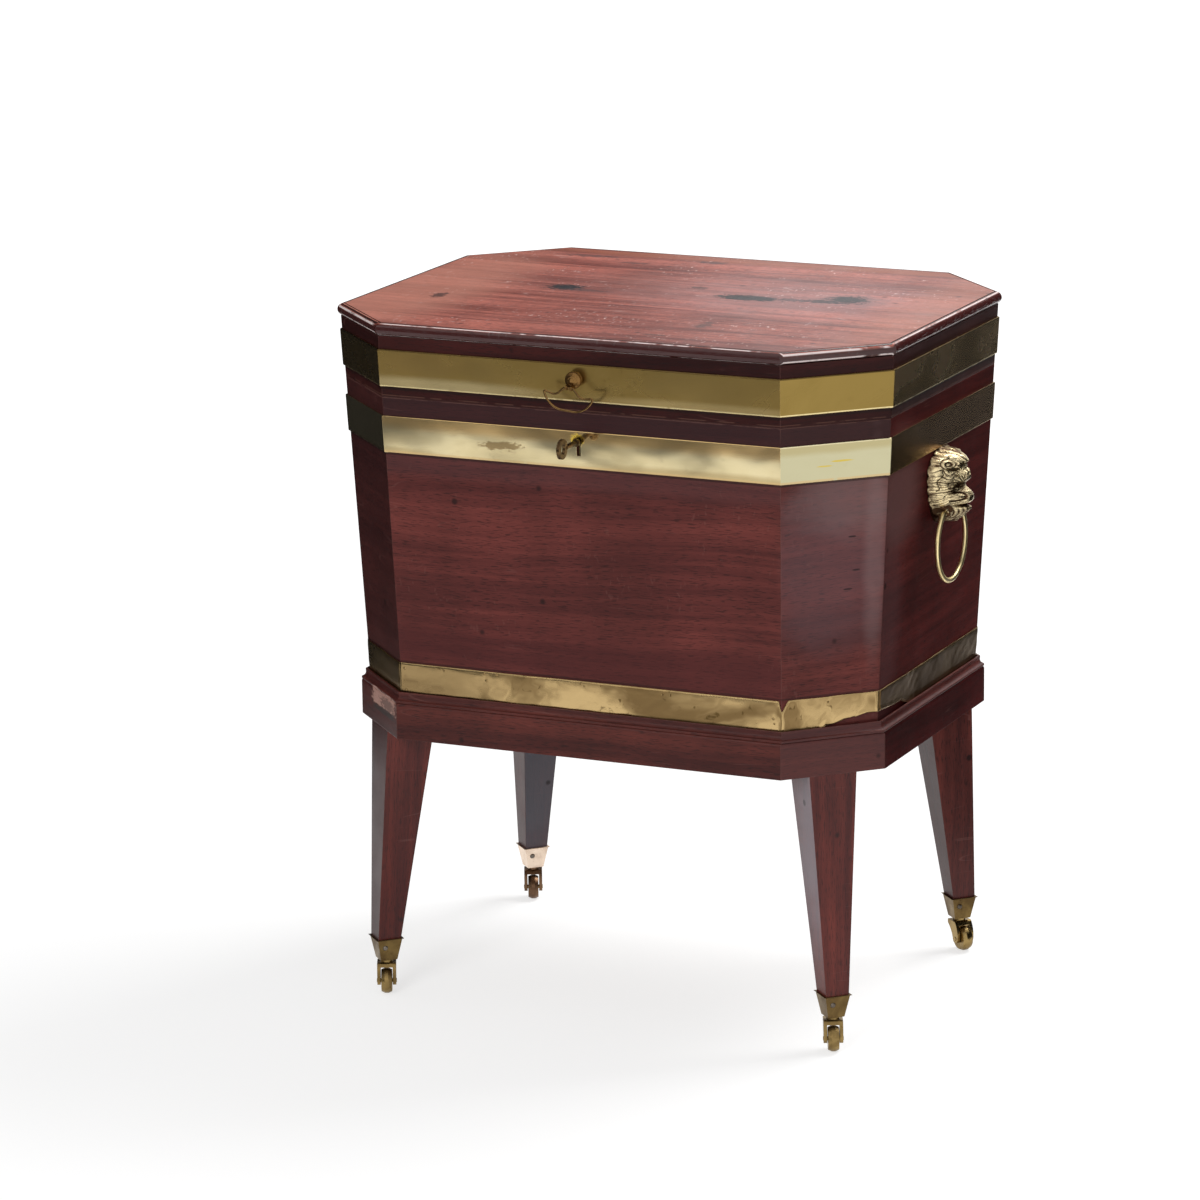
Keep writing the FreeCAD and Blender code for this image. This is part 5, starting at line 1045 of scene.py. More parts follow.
def smooth(value: Array, low: float, high: float) -> Array:
    """0 to 1 as value goes from low to high, with level ends: 3t^2 - 2t^3."""
    t = np.clip((value - low) / (high - low), 0.0, 1.0)
    return t * t * (3.0 - 2.0 * t)


def ripple(x: Array, y: Array, seed: int, waves: int, size: float) -> Array:
    """A soft uneven height: the mean of sine waves of random direction and about one size.

    Args:
        x: first coordinate.
        y: second coordinate.
        seed: picks the waves.
        waves: how many are added.
        size: their length.

    Returns:
        Values of about -1 to 1.
    """
    rng = np.random.default_rng(seed)
    turn = rng.uniform(0.0, 2.0 * math.pi, waves)
    rate = 2.0 * math.pi / (size * rng.uniform(0.7, 1.6, waves))
    start = rng.uniform(0.0, 2.0 * math.pi, waves)
    phase = (x[..., None] * np.cos(turn) + y[..., None] * np.sin(turn)) * rate + start
    return np.sin(phase).mean(axis=-1) * 2.0


def grid_faces(rows: int, columns: int, first: int = 0, closed: bool = False,
               flip: bool = False) -> Array:
    """The four-sided faces of a grid of vertices.

    Args:
        rows: how many rows of vertices.
        columns: how many in a row.
        first: the index of the first vertex.
        closed: whether the last column joins the first.
        flip: whether the faces look the other way.

    Returns:
        An array of faces, four vertex numbers each.
    """
    r = np.arange(rows - 1)[:, None]
    c = np.arange(columns if closed else columns - 1)[None, :]
    right = (c + 1) % columns
    quads = np.stack([r * columns + c, r * columns + right,
                      (r + 1) * columns + right, (r + 1) * columns + c], axis=-1).reshape(-1, 4)
    return (quads[:, ::-1] if flip else quads) + first


def fan(first: int, columns: int, tip: int, flip: bool = False) -> list[list[int]]:
    """The triangles that close a ring of vertices to one more vertex, its tip.

    Args:
        first: the index of the ring's first vertex.
        columns: how many vertices the ring has.
        tip: the index of the tip.
        flip: whether the triangles look the other way.

    Returns:
        Three vertex numbers for each triangle.
    """
    pairs = [(first + k, first + (k + 1) % columns) for k in range(columns)]
    return [[b, a, tip] if flip else [a, b, tip] for a, b in pairs]


def make_piece(name: str, points: Array, faces: Sequence[Sequence[int]],
               finish: bpy.types.Material, smooth_shading: bool = True,
               attributes: Optional[dict[str, Array]] = None) -> bpy.types.Object:
    """Makes one object at the world's origin from points and faces.

    Args:
        name: the object's name.
        points: an array of (number, 3).
        faces: vertex numbers of each face.
        finish: its material.
        smooth_shading: whether its faces are shaded as one surface.
        attributes: values for each point, by name.

    Returns:
        The object.
    """
    mesh = bpy.data.meshes.new(name)
    mesh.from_pydata(points.reshape(-1, 3).tolist(), [], [list(map(int, f)) for f in faces])
    mesh.materials.append(finish)
    mesh.polygons.foreach_set("use_smooth", [smooth_shading] * len(mesh.polygons))
    for key, values in (attributes or {}).items():
        layer = mesh.attributes.new(key, "FLOAT", "POINT")
        layer.data.foreach_set("value", values.astype(np.float32).ravel())
    mesh.validate()
    mesh.update()
    made = bpy.data.objects.new(name, mesh)
    bpy.context.scene.collection.objects.link(made)
    LOG.info("built %s with %d faces", name, len(mesh.polygons))
    return made


# --------------------------------------------------------------------------------------------
# the chest's brass bands
# --------------------------------------------------------------------------------------------


@dataclass
class LowerBand:
    """The lower band: strips of thin brass, lapped, nailed, dented and torn at the right."""

    plan: ChestPlan = field(default_factory=ChestPlan)
    foot: float = 0.3110
    top: float = 0.3451
    thickness: float = 0.0013
    spacing: float = 0.0013
    rows: int = 18
    lap_top: float = -0.0690
    lap_foot: float = -0.0873
    lap_step: float = 0.0005
    nail_rise: float = 0.0009
    nails: tuple[tuple[float, float], ...] = (
        (-0.1086, 0.3425), (-0.0955, 0.3425), (-0.1065, 0.3357), (-0.0073, 0.3420),
        (-0.0032, 0.3405), (0.0145, 0.3425), (0.0774, 0.3400), (0.0852, 0.3400),
        (0.1901, 0.3276), (0.1910, 0.3228), (-0.1930, 0.3180), (-0.1935, 0.3400))

    def edges(self, sides: Array, shares: Array) -> tuple[Array, Array]:
        """The heights of the strip's lower and upper edge at each column.

        The lower edge climbs where the brass is torn away, from two fifths along the front
        right corner to a third along the right side.  The upper edge drops in a narrow v where
        the front strip ends at that corner.

        Args:
            sides: the side of each column.
            shares: its share of that side.

        Returns:
            The lower and the upper heights.
        """
        run = sides + shares
        flat = self.plan.corners(np.array(0.33), np.array(0.0))
        torn_at = np.array([1.0, 1.38, 1.40, 1.45, 1.60, 1.72, 1.86, 2.0, 2.02, 2.22, 2.24,
                            2.30, 2.335, 2.36, 3.0])
        torn_to = np.array([0.0, 0.0, 3.0, 6.2, 8.4, 11.6, 13.4, 14.4, 14.8, 9.5, 6.0,
                            1.5, 1.9, 0.0, 0.0]) * 0.001
        lower = self.foot + np.interp(run, torn_at, torn_to)
        wave = ripple(run * 40.0, run * 0.0, 3, 5, 9.0) * 0.0004
        lower += wave * (np.interp(run, torn_at, torn_to) > 0.0005) * 2.5
        upper = self.top + ripple(run * 30.0, run * 0.0, 8, 6, 12.0) * 0.00025
        length = np.linalg.norm(flat[2] - flat[1])
        from_corner = (run - 1.0) * np.where(run < 1.0, 2.0 * flat[1, 0], length)
        notch = np.interp(from_corner, [-0.0025, -0.0004, 0.0012, 0.004, 0.007],
                          [0.0, 0.0108, 0.0100, 0.0045, 0.0])
        return lower, upper - notch

    def build(self) -> bpy.types.Object:
        """Builds the strip as a closed tube of sheet round the chest.

        Each column goes up the outer face and down the inner one.  The outer face stands out by
        the sheet's thickness, the lap's step and a ripple, and the inner face lies on the wood.

        Returns:
            The strip.
        """
        sides, shares = self.plan.columns(self.spacing)
        lower, upper = self.edges(sides, shares)
        rise = np.linspace(0.0, 1.0, self.rows)[:, None]
        z = lower + (upper - lower) * rise
        flat = self.plan.points(sides, shares, z, np.zeros_like(z))
        along = np.where(np.isin(sides, (0, 4)), flat[..., 0], flat[..., 1] + flat[..., 0])
        out = self.thickness + 0.00030 * ripple(along, z, 5, 9, 0.045)
        out += 0.00016 * ripple(along, z, 6, 9, 0.015)
        seam = self.lap_foot + (self.lap_top - self.lap_foot) * (z - self.foot) / (
            self.top - self.foot)
        lap = smooth(flat[..., 0] - seam, -0.0006, 0.0006)
        step = self.lap_step * lap * (1.0 - 0.6 * smooth(flat[..., 0], -0.05, 0.1))
        out += np.where(sides == 0, step, 0.0)
        curl = smooth(np.abs(rise - 0.5), 0.36, 0.5)
        out -= 0.00035 * curl
        torn = np.where(lower > self.foot + 0.0008, 1.0, 0.0)
        out += torn * 0.0009 * (1.0 - smooth(rise, 0.0, 0.22))
        near = np.zeros_like(z)
        for x, height in self.nails:
            away = np.hypot(flat[..., 0] - x, z - height)
            near += np.where(sides == 0, np.exp(-(away / 0.004) ** 2), 0.0)
        out -= 0.00025 * np.clip(near, 0.0, 1.0)
        front = self.plan.points(sides, shares, z, np.maximum(out, 0.0006))
        back = self.plan.points(sides, shares, z[::-1], np.full_like(z, 0.00005))
        points = np.concatenate([front, back], axis=0)
        points = self.bend(points, 3)
        rows, columns = points.shape[:2]
        faces = grid_faces(rows + 1, columns, closed=True)
        faces = np.where(faces >= rows * columns, faces - rows * columns, faces)
        return make_piece("lower_band_strip", points, faces, FINISH["lower_band_brass"])

    @staticmethod
    def bend(points: Array, reach: int) -> Array:
        """Rounds the strip's bends: each point becomes the mean of its row neighbours."""
        total = sum(np.roll(points, step, axis=1) for step in range(-reach, reach + 1))
        mean = total / (2 * reach + 1)
        mean[..., 2] = points[..., 2]
        return mean

    def nail_heads(self) -> bpy.types.Object:
        """Builds the nail heads: low domes, a cosine cap turned about the face's normal."""
        ring = np.linspace(0.0, 2.0 * math.pi, 14, endpoint=False)
        fall = np.linspace(0.0, 1.0, 7)[:, None]
        centres = []
        for x, height in self.nails:
            depth = self.plan.half_depth - self.plan.slope * (self.plan.height - height)
            centres.append((x, -depth + self.plan.middle, height))
        corner = self.plan.corners(np.array(0.340), np.array(0.0))
        spot = corner[1] + (corner[2] - corner[1]) * 0.47
        centres.append((spot[0], spot[1], 0.340))
        normals = [(0.0, -1.0)] * len(self.nails) + [(math.sqrt(0.5), -math.sqrt(0.5))]
        lip = self.thickness - 0.0003
        blocks, faces = [], []
        for index, (centre, normal) in enumerate(zip(centres, normals)):
            radius = 0.0015 if index % 3 else 0.0012
            wide = np.sin(fall * math.pi / 2.0) * radius * np.ones_like(ring)
            proud = np.cos(fall * math.pi / 2.0) * self.nail_rise + lip
            side = np.array([-normal[1], normal[0]])
            x = centre[0] + side[0] * wide * np.cos(ring) + normal[0] * proud
            y = centre[1] + side[1] * wide * np.cos(ring) + normal[1] * proud
            z = centre[2] + wide * np.sin(ring)
            block = np.stack([x, y, z], axis=-1)[1:]
            rows, columns = block.shape[:2]
            start = sum(len(b) for b in blocks)
            tips = [[centre[0] + normal[0] * level, centre[1] + normal[1] * level, centre[2]]
                    for level in (lip + self.nail_rise, lip * 0.3)]
            blocks.append(np.concatenate([block.reshape(-1, 3), np.array(tips)]))
            faces += grid_faces(rows, columns, start, closed=True, flip=True).tolist()
            crown, base = start + rows * columns, start + rows * columns + 1
            faces += fan(start, columns, crown)
            faces += fan(start + (rows - 1) * columns, columns, base, flip=True)
        return make_piece("lower_band_nails", np.concatenate(blocks), faces,
                          FINISH["lower_band_brass"])


# --------------------------------------------------------------------------------------------
# the lion masks
# --------------------------------------------------------------------------------------------


class Side(Enum):
    """The side of the chest that a mask is on, with the sign of its outward x."""

    LEFT = -1.0
    RIGHT = 1.0


@dataclass
class LionMask:
    """A cast lion's head in relief, with a curled mane, for a ring handle.

    p runs across the mask and q up it, both from its middle.  The head's height over the board
    is a dome, plus the brow, nose, muzzle, cheeks and jaw as rounded bumps, plus the mane's
    locks: crests that sweep outwards and down from the parting.
    """

    side: Side
    plan: ChestPlan = field(default_factory=ChestPlan)
    middle_height: float = 0.5162
    EDGE_Q: ClassVar[Array] = np.array([0.0385, 0.0372, 0.0330, 0.0277, 0.0218, 0.0138, 0.0050,
                                        -0.0060, -0.0170, -0.0260, -0.0345, -0.0375])
    EDGE_P: ClassVar[Array] = np.array([0.0, 0.0078, 0.0232, 0.0304, 0.0340, 0.0340, 0.0325,
                                        0.0290, 0.0235, 0.0185, 0.0100, 0.0])
    # Nose, brow, eye's hollow, eyeball, muzzle, mouth and chin, as bump() takes them.
    BUMPS: ClassVar[tuple[tuple[float, ...], ...]] = (
        (0.0, -0.0065, 0.0050, 0.0050, 0.0012), (0.0085, 0.0085, 0.0065, 0.0030, 0.0030),
        (0.0090, 0.0018, 0.0055, 0.0034, -0.0042), (0.0095, 0.0012, 0.0030, 0.0019, 0.0030),
        (0.0055, -0.0120, 0.0050, 0.0048, 0.0030), (0.0040, -0.0165, 0.0070, 0.0012, -0.0034),
        (0.0030, -0.0200, 0.0060, 0.0030, 0.0018))
    rings: int = 118
    spokes: int = 400

    def outline(self, turn: Array) -> Array:
        """The mask's radius at each angle, from the heights and half-widths of its edge.

        Args:
            turn: the angle from straight up.

        Returns:
            The distance from the middle to the edge, with the locks' tips as waves on it.
        """
        q, p = self.EDGE_Q, self.EDGE_P
        angle = np.arctan2(p, q)
        radius = np.interp(np.abs(turn), angle, np.hypot(p, q))
        locks = np.abs(np.sin(turn * 11.0)) ** 0.7
        return radius * (0.955 + 0.055 * locks * smooth(np.cos(turn), -0.75, -0.3))

    def relief(self, p: Array, q: Array, share: Array) -> tuple[Array, Array]:
        """The height of the head over the board.

        Args:
            p: across, from the middle.
            q: up, from the middle.
            share: 0 at the middle and 1 at the edge.

        Returns:
            The heights, and how deep each point is in a cut, 0 to 1, with painted shade added over
            the lower part of the head.
        """
        ridge_q = np.array([-37.5, -35.0, -32.7, -29.0, -25.2, -21.0, -18.3, -15.5, -11.7, -6.5,
                            -3.0, 0.0, 2.7, 5.5, 8.3, 12.2, 15.8, 18.0, 21.3, 25.4, 30.7, 35.0,
                            38.5]) * 0.001
        ridge_h = np.array([8.0, 13.0, 19.0, 25.0, 29.0, 32.0, 33.0, 30.5, 33.5, 34.5, 32.5, 29.5,
                            26.5, 27.5, 29.5, 30.0, 27.5, 23.5, 25.0, 26.0, 22.0, 15.5,
                            8.0]) * 0.001
        ridge = np.interp(q, ridge_q, ridge_h)
        across = np.abs(p)
        half = np.maximum(np.interp(q, self.EDGE_Q[::-1], self.EDGE_P[::-1]), 0.004)
        aside = np.clip(across / half, 0.0, 1.0)
        height = 0.0022 + (ridge - 0.0022) * (1.0 - aside ** 1.3) ** 0.72
        height *= 1.0 - 0.55 * smooth(share, 0.93, 1.0)

        def bump(at: float, up: float, wide: float, tall: float, size: float) -> Array:
            """A rounded bump on each side of the middle: size * exp(-r^2)."""
            return size * np.exp(-(((across - at) / wide) ** 2 + ((q - up) / tall) ** 2))

        face = smooth(np.hypot(p / 0.0185, (q + 0.0105) / 0.0215), 1.12, 0.88)
        jaw = 0.0172 * smooth(across, 0.0192, 0.0150) * smooth(q, -0.0320, -0.0245) * smooth(
            q, -0.0090, -0.0180)
        height = np.maximum(height, jaw)
        beard = smooth(q, -0.0165, -0.0225)
        comb = np.abs(np.sin(p * 1050.0 + 2.0 * np.sin(q * 300.0)))
        height = height + beard * 0.0009 * (comb - 0.5) * smooth(share, 1.0, 0.9)
        carved = sum(bump(*row) for row in self.BUMPS)
        lip = np.hypot((across - 0.0150) / 0.0062, (q + 0.0066) / 0.0030)
        carved += 0.0034 * np.exp(-(lip / 0.9) ** 2) - 0.0026 * np.exp(-((lip - 1.35) / 0.20) ** 2)
        angle = np.arctan2(across, q + 0.006)
        mane, cut = self.locks(angle, np.hypot(p, q + 0.006))
        ear = np.hypot((across - 0.0200) / 0.0068, (q - 0.0250) / 0.0044)
        shell = 0.0020 * np.exp(-((ear - 0.72) / 0.24) ** 2) + 0.0012 * np.exp(-(ear / 0.25) ** 2)
        near_ear = smooth(ear, 1.20, 0.95)
        mane = mane * (1.0 - near_ear) + shell * near_ear
        cut = cut * (1.0 - near_ear) + near_ear * np.clip(
            0.7 * np.exp(-((ear - 0.42) / 0.16) ** 2)
            + 0.8 * np.exp(-((ear - 1.05) / 0.16) ** 2),
            0.0, 1.0)
        hair = (1.0 - face) * smooth(share, 1.0, 0.95)
        height = height + carved * face * smooth(share, 1.0, 0.8) + mane * hair
        cut = cut * hair
        cut += face * np.clip(bump(0.0090, 0.0026, 0.0055, 0.0034, 1.0)
                              - bump(0.0095, 0.0012, 0.0026, 0.0015, 1.0), 0.0, 1.0)
        cut += face * bump(0.0040, -0.0165, 0.0070, 0.0013, 1.0)
        cut += face * 0.45 * np.abs(np.sin(q * 1900.0 + 2.0 * np.sin(p * 500.0))) ** 6.0
        cut += face * np.exp(-((lip - 1.35) / 0.26) ** 2)
        eye_of_ring = np.hypot((across - 0.0172) / 0.0030, (q + 0.0215) / 0.0052)
        cut += 0.95 * np.exp(-((eye_of_ring - 1.0) / 0.35) ** 2)
        cut += smooth(share, 0.94, 1.0) * 0.5
        # Painted shade: the whole lower part of the head, below the mouth, is darkened by 0.30;
        # the comb's grooves add real hollows to it.
        cut += beard * (0.30 + 0.7 * np.clip(1.0 - 1.6 * comb, 0.0, 1.0))
        return np.maximum(height, 0.0004), np.clip(cut, 0.0, 1.0)

    @staticmethod
    def locks(angle: Array, reach: Array) -> tuple[Array, Array]:
        """The mane: locks that sweep out from the face and down, each cut into strands.

        A lock is |sin| of its lane, a lane being a share of the angle that bends down as it goes
        out and wanders a little.  Strands are the same, four times finer.  Tiers, about one
        every 10 mm out, fall towards their tips.

        Args:
            angle: from straight up, the same on both halves.
            reach: distance from the face's middle.

        Returns:
            The locks' height, and how deep each point is in the cuts between them.
        """
        far = reach / 0.034
        wander = 0.12 * np.sin(far * 8.0 + angle * 5.0) + 0.08 * np.sin(angle * 11.0 - far * 6.0)
        out = far * 3.2 + 0.30 * np.sin(angle * 6.0) + 0.16 * np.sin(angle * 15.0 + 1.0)
        tier = out % 1.0
        bend = angle - 0.75 * (far - 0.4) * np.sin(angle)
        lane = bend / math.pi * 8.5 + wander
        lock = np.abs(np.sin(lane * math.pi))
        strand = np.abs(np.sin(lane * math.pi * 4.0 + 0.8 * np.sin(far * 17.0 + angle * 3.0)))
        fall = smooth(tier, 0.0, 0.30) * (1.0 - 0.55 * smooth(tier, 0.45, 1.0))
        height = fall * 0.0017 * lock ** 0.6 + (0.45 + 0.55 * fall) * 0.0014 * strand ** 0.7
        cut = np.clip(0.85 - 1.70 * strand, 0.0, 1.0)
        cut = np.maximum(cut, np.clip(0.8 - 2.2 * lock, 0.0, 1.0))
        cut = np.maximum(cut, 0.55 * smooth(tier, 0.84, 0.97) * (1.0 - 0.5 * strand))
        return height, cut

    def build(self) -> bpy.types.Object:
        """Builds the mask as a closed relief on the leaning side board.

        Points stand on rings about the middle; their height is measured from the board, and the
        last ring drops to the board, where a flat back closes the piece.

        Returns:
            The mask.
        """
        share = np.linspace(0.0, 1.0, self.rings)[1:, None] ** 0.85
        turn = np.linspace(-math.pi, math.pi, self.spokes, endpoint=False)[None, :]
        radius = self.outline(turn) * share
        p, q = radius * np.sin(turn), radius * np.cos(turn)
        height, cut = self.relief(p, q, np.broadcast_to(share, p.shape))
        crown, crown_cut = self.relief(np.zeros(1), np.zeros(1), np.zeros(1))
        levels = [(p, q, height, cut), (p[-1:], q[-1:], np.full_like(p[-1:], 0.0001), cut[-1:])]
        p_all, q_all, h_all, c_all = (np.concatenate(part) for part in zip(*levels))
        ring_points = self.stand(p_all, q_all, h_all)
        rows, columns = p_all.shape
        ends = np.stack([self.stand(np.zeros(1), np.zeros(1), crown)[0],
                         self.stand(np.zeros(1), np.zeros(1), np.full(1, 0.0001))[0]])
        points = np.concatenate([ring_points.reshape(-1, 3), ends])
        outward = self.side is Side.LEFT
        faces = grid_faces(rows, columns, closed=True, flip=outward).tolist()
        top, back = rows * columns, rows * columns + 1
        faces += fan(0, columns, top, flip=not outward)
        faces += fan((rows - 1) * columns, columns, back, flip=outward)
        cuts = np.concatenate([c_all.ravel(), crown_cut, np.ones(1)])
        return make_piece(f"lion_head_{self.side.name.lower()}", points, faces,
                          FINISH["mask_brass"], attributes={"hollow": cuts})

    def stand(self, p: Array, q: Array, height: Array) -> Array:
        """Places mask coordinates on the chest's leaning side."""
        z = self.middle_height + q
        face = self.plan.half_width - self.plan.slope * (self.plan.height - z)
        x = self.side.value * (face + height)
        y = self.plan.middle + p * self.side.value
        return np.stack([x, y + 0.0 * z, z], axis=-1)


# --------------------------------------------------------------------------------------------
# sub-assemblies
# --------------------------------------------------------------------------------------------

CORNERS: tuple[str, ...] = ("front_left", "front_right", "back_right", "back_left")
SIDES: tuple[str, ...] = ("front", "right", "back", "left")
RECIPES = (CHEST_WOOD, PAINTED_SHADE_LID_WOOD, PAINTED_SHADE_SIDE_WOOD, TOP_WOOD, STAND_WOOD, PAINTED_SHADE_STAND_SIDE_WOOD, LEG_WOOD,
           LID_BRASS, UPPER_BRASS, LOWER_BRASS, CASTOR_BRASS, SOCKET_BRASS, MASK_BRASS,
           RING_BRASS, HANDLE_BRASS, BOSS_BRASS, PALE_BRASS, BROWN_BRASS, HINGE_BRASS, KEY_METAL,
           SCREW_IRON, INNER_WOOD, LEAD)
FINISH: dict[str, bpy.types.Material] = {}


def mix_finishes() -> None:
    """Builds every finish once, under its own name."""
    for recipe in RECIPES:
        FINISH[recipe.name] = recipe.material()
        LOG.info("mixed %s", recipe.name)


@dataclass
class Stand:
    """The stand: rails, canted blocks, moulding and four splayed legs."""

    def dress(self) -> None:
        """Gives the stand's wood its finishes."""
        dress([f"stand_{side}_rail" for side in SIDES], FINISH["stand_mahogany"])
        dress(["stand_left_rail", "stand_right_rail"], FINISH["painted_shade_stand_side_mahogany"])
        dress(["stand_corner_blocks", "stand_moulding"], FINISH["stand_mahogany"])
        dress([f"leg_{corner}" for corner in CORNERS], FINISH["leg_mahogany"])


@dataclass
class Castors:
    """Four brass castors: socket, fork, axle and wheel."""

    def dress(self) -> None:
        """Gives the castors their finishes."""
        dress([f"castor_socket_{corner}" for corner in CORNERS], FINISH["socket_brass"])
        for part in ("fork", "axle", "wheel"):
            dress([f"castor_{part}_{corner}" for corner in CORNERS], FINISH["castor_brass"])
        dress(["castor_socket_back_left"], FINISH["pale_brass"])
        dress(["castor_fork_back_left", "castor_wheel_back_left"], FINISH["brown_brass"])
        dress(["castor_screws"], FINISH["screw_iron"])


@dataclass
class Chest:
    """The chest: boards, bands, liner, dividers, lock, hinges, masks and rings."""

    band: LowerBand = field(default_factory=LowerBand)

    def dress(self) -> None:
        """Gives the chest's frame nodes their finishes."""
        dress([f"chest_{side}_board" for side in ("front", "back")], FINISH["chest_mahogany"])
        dress([f"chest_{side}_board" for side in ("left", "right")], FINISH["painted_shade_side_mahogany"])
        dress(["chest_corner_boards"], FINISH["chest_mahogany"])
        dress(["chest_upper_band"], FINISH["upper_band_brass"])
        dress(["chest_lower_band"], FINISH["lower_band_brass"])
        dress(["chest_bottom_board", "long_dividers", "cross_dividers"], FINISH["inner_oak"])
        dress(["lead_liner"], FINISH["sheet_lead"])
        dress(["lion_mask_left", "lion_mask_right"], FINISH["ring_brass"])
        dress(["ring_left", "ring_right"], FINISH["ring_brass"])
        dress(["key"], FINISH["key_metal"])
        dress(["lock_case", "lock_bolt", "chest_hinge_leaves", "hinge_pins", "mask_nuts"],
              FINISH["hinge_brass"])

    def build(self) -> None:
        """Builds the lower band, its nails, and the lions' heads."""
        strip = self.band.build()
        nails = self.band.nail_heads()
        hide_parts("chest_lower_band")
        for piece in (strip, nails):
            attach(piece, "chest")
        for side in Side:
            head = LionMask(side).build()
            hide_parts(f"lion_mask_{side.name.lower()}")
            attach(head, "chest")


@dataclass
class Lid:
    """The lid: top board, side boards, band, handle, link plate and hinge leaves."""

    def dress(self) -> None:
        """Gives the lid its finishes."""
        dress([f"lid_{side}_board" for side in SIDES], FINISH["painted_shade_lid_mahogany"])
        dress(["lid_corner_boards"], FINISH["painted_shade_lid_mahogany"])
        dress(["lid_top_board"], FINISH["top_mahogany"])
        dress(["lid_band"], FINISH["lid_band_brass"])
        dress(["lid_handle_boss"], FINISH["boss_brass"])
        dress(["lid_handle_bail"], FINISH["handle_brass"])
        dress(["lid_handle_nut", "link_plate", "lid_hinge_leaves"], FINISH["hinge_brass"])


@dataclass(frozen=True)
class SoftLamp:
    """A square area lamp that looks at a point."""

    name: str
    place: tuple[float, float, float]
    aim: tuple[float, float, float]
    size: float
    power: float

    def build(self) -> None:
        """Hangs the lamp."""
        data = bpy.data.lights.new(self.name, "AREA")
        data.shape = "SQUARE"
        data.size = self.size
        data.energy = self.power
        lamp = bpy.data.objects.new(self.name, data)
        lamp.location = self.place
        lamp.rotation_euler = (Vector(self.aim) - Vector(self.place)).to_track_quat(
            "-Z", "Y").to_euler()
        bpy.context.scene.collection.objects.link(lamp)
        LOG.info("hung %s", self.name)


@dataclass(frozen=True)
class DarkCard:
    """A dark upright card that only polished faces see, so that brass has something to mirror."""

    name: str
    start: tuple[float, float]
    end: tuple[float, float]
    foot: float
    top: float
    shade: float = 0.03

    def build(self) -> None:
        """Stands the card up: a flat sheet from start to end, between its foot and its top."""
        (x0, y0), (x1, y1) = self.start, self.end
        corners = np.array([[x0, y0, self.foot], [x1, y1, self.foot], [x1, y1, self.top],
                            [x0, y0, self.top]])
        material, _, shader = new_material(self.name, (self.shade,) * 3, 1.0)
        shader.inputs["Specular IOR Level"].default_value = 0.0
        made = make_piece(self.name, corners, [[0, 1, 2, 3]], material, False)
        made.visible_camera = False
        made.visible_diffuse = False
        made.visible_shadow = False
        made.visible_transmission = False


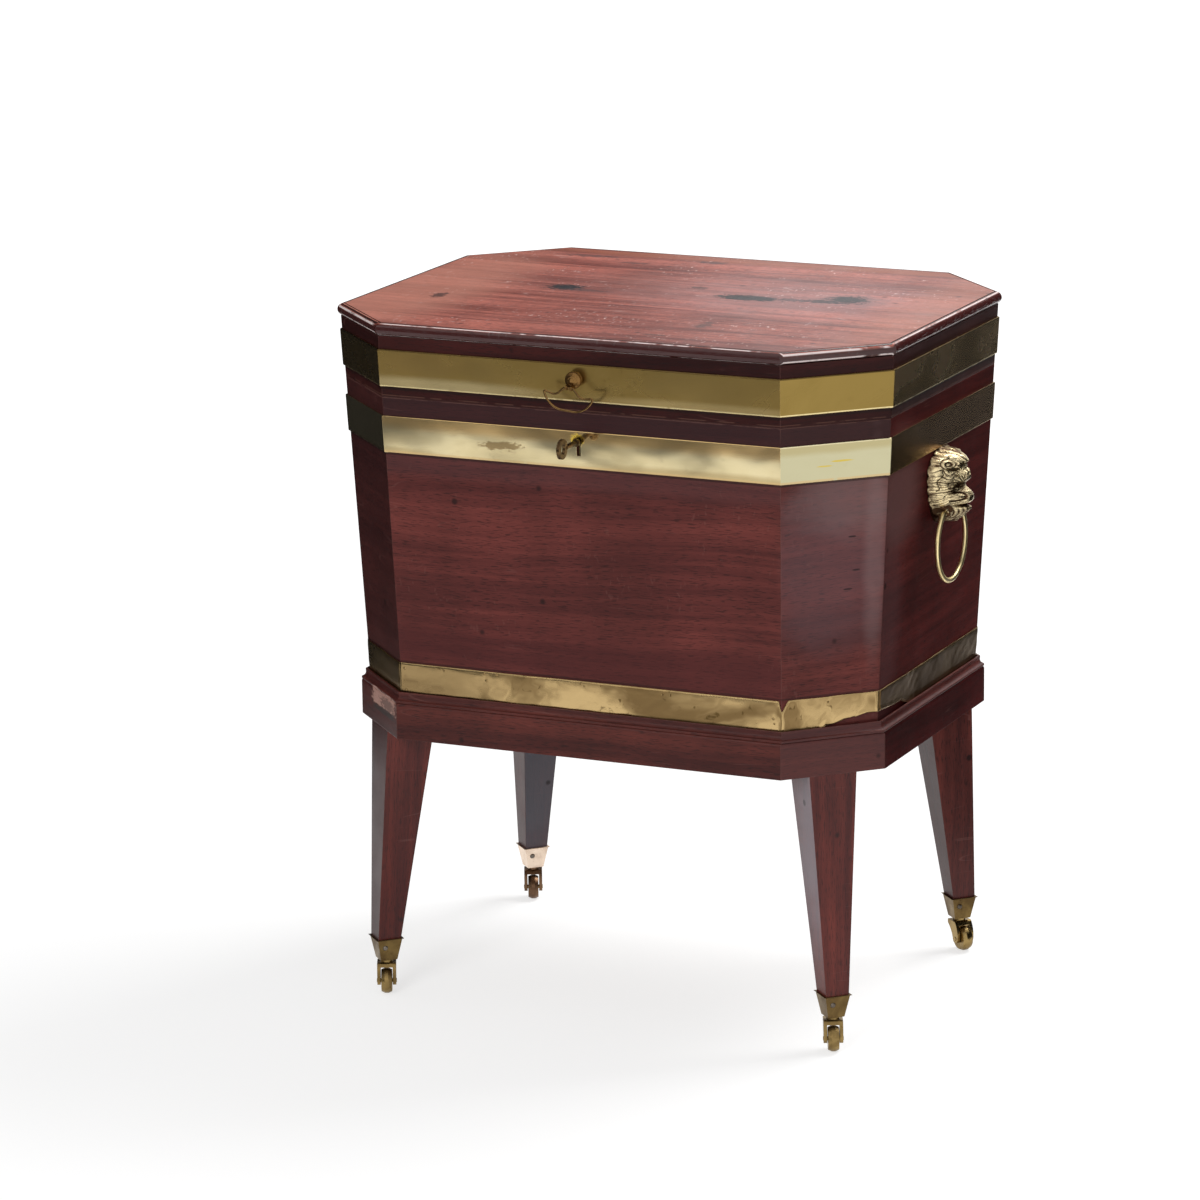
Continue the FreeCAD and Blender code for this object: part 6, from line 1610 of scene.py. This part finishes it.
@dataclass
class Studio:
    """The pale floor, the soft light and the camera."""

    target: tuple[float, float, float] = (-0.0650, -0.00955, 0.3792)
    distance: float = 5.1831
    azimuth: float = math.radians(24.479)
    elevation: float = math.radians(13.824)
    roll: float = -0.0126
    lens: float = 158.63
    floor_size: float = 60.0
    lamps: tuple[SoftLamp, ...] = (
        SoftLamp("overhead_lamp", (1.05, 1.55, 2.6), (0.0, 0.0, 0.35), 1.6, 76.0),
        SoftLamp("front_lamp", (-0.3, -3.6, 1.9), (0.0, 0.0, 0.35), 1.6, 58.0),
    )
    cards: tuple[DarkCard, ...] = (
        DarkCard("left_card", (-0.62, -0.45), (-0.62, 1.5), 0.14, 1.6),
        DarkCard("right_card", (0.50, -0.08), (0.50, 1.6), 0.0, 1.6),
        DarkCard("front_card", (-2.4, -1.806), (0.3, -1.806), 0.0, 1.8, 0.17),
    )

    def camera(self) -> None:
        """Sets the camera: it looks at the target from its azimuth, elevation and distance."""
        az, el = self.azimuth, self.elevation
        right = np.array([math.cos(az), math.sin(az), 0.0])
        back = np.array([math.sin(az) * math.cos(el), -math.cos(az) * math.cos(el), math.sin(el)])
        up = np.cross(back, right)
        turned = right * math.cos(self.roll) + up * math.sin(self.roll)
        raised = -right * math.sin(self.roll) + up * math.cos(self.roll)
        place = np.array(self.target) + self.distance * back
        data = bpy.data.cameras.new("studio_camera")
        data.lens = self.lens
        data.sensor_width = 36.0
        data.clip_end = 200.0
        made = bpy.data.objects.new("studio_camera", data)
        grid = np.eye(4)
        grid[:3, 0], grid[:3, 1], grid[:3, 2], grid[:3, 3] = turned, raised, back, place
        made.matrix_world = Matrix(grid.tolist())
        bpy.context.scene.collection.objects.link(made)
        bpy.context.scene.camera = made

    def floor(self) -> None:
        """Lays the pale floor.

        Its own colour is a plain light grey.  To rays that come straight from the camera, or by
        way of metal or glass, it shows white, less the object's shadow.
        """
        half = self.floor_size / 2.0
        corners = np.array([[-half, -half, 0.0], [half, -half, 0.0], [half, half, 0.0],
                            [-half, half, 0.0]])
        material, g, shader = new_material("studio_floor", (0.80, 0.80, 0.80), 0.9)
        shader.inputs["Specular IOR Level"].default_value = 0.0
        pale = g.node("BsdfDiffuse")
        pale.inputs["Color"].default_value = (0.42, 0.42, 0.42, 1.0)
        glow = g.node("Emission")
        glow.inputs["Color"].default_value = (1.0, 1.0, 1.0, 1.0)
        away = g.vector("LENGTH", g.place())
        g.feed(glow.inputs["Strength"], g.ramp(away, 1.2, 3.4, 0.67, 1.0))
        both = g.node("AddShader")
        g.feed(both.inputs[0], pale.outputs[0])
        g.feed(both.inputs[1], glow.outputs[0])
        pick = g.node("MixShader")
        g.feed(pick.inputs[0], g.seen_plainly())
        g.feed(pick.inputs[1], shader.outputs[0])
        g.feed(pick.inputs[2], both.outputs[0])
        out = next(n for n in material.node_tree.nodes if n.type == "OUTPUT_MATERIAL")
        g.feed(out.inputs["Surface"], pick.outputs[0])
        made = make_piece("studio_floor", corners, [[0, 1, 2, 3]], material, False)

    def world(self) -> None:
        """Sets the room: white where the camera, metal or glass looks, and dimmer as light."""
        world = bpy.data.worlds.new("studio_world")
        bpy.context.scene.world = world
        world.use_nodes = True
        world.node_tree.nodes.clear()
        g = Graph(world.node_tree)
        back = g.node("Background")
        back.inputs["Color"].default_value = (1.0, 1.0, 1.0, 1.0)
        g.feed(back.inputs["Strength"], g.ramp(g.seen_plainly(), 0.0, 1.0, 0.38, 1.0))
        out = g.node("OutputWorld")
        g.feed(out.inputs["Surface"], back.outputs[0])

    def build(self) -> None:
        """Sets up the whole studio."""
        self.camera()
        self.floor()
        self.world()
        for lamp in self.lamps:
            lamp.build()
        for card in self.cards:
            card.build()
        bpy.context.scene.view_settings.view_transform = "Standard"


def main() -> None:
    """Builds the finishes, the pieces and the studio in order."""
    logging.basicConfig(level=logging.INFO, format="%(name)s: %(message)s")
    mix_finishes()
    Stand().dress()
    Castors().dress()
    chest = Chest()
    chest.dress()
    chest.build()
    Lid().dress()
    Studio().build()


if __name__ == "__main__":
    main()
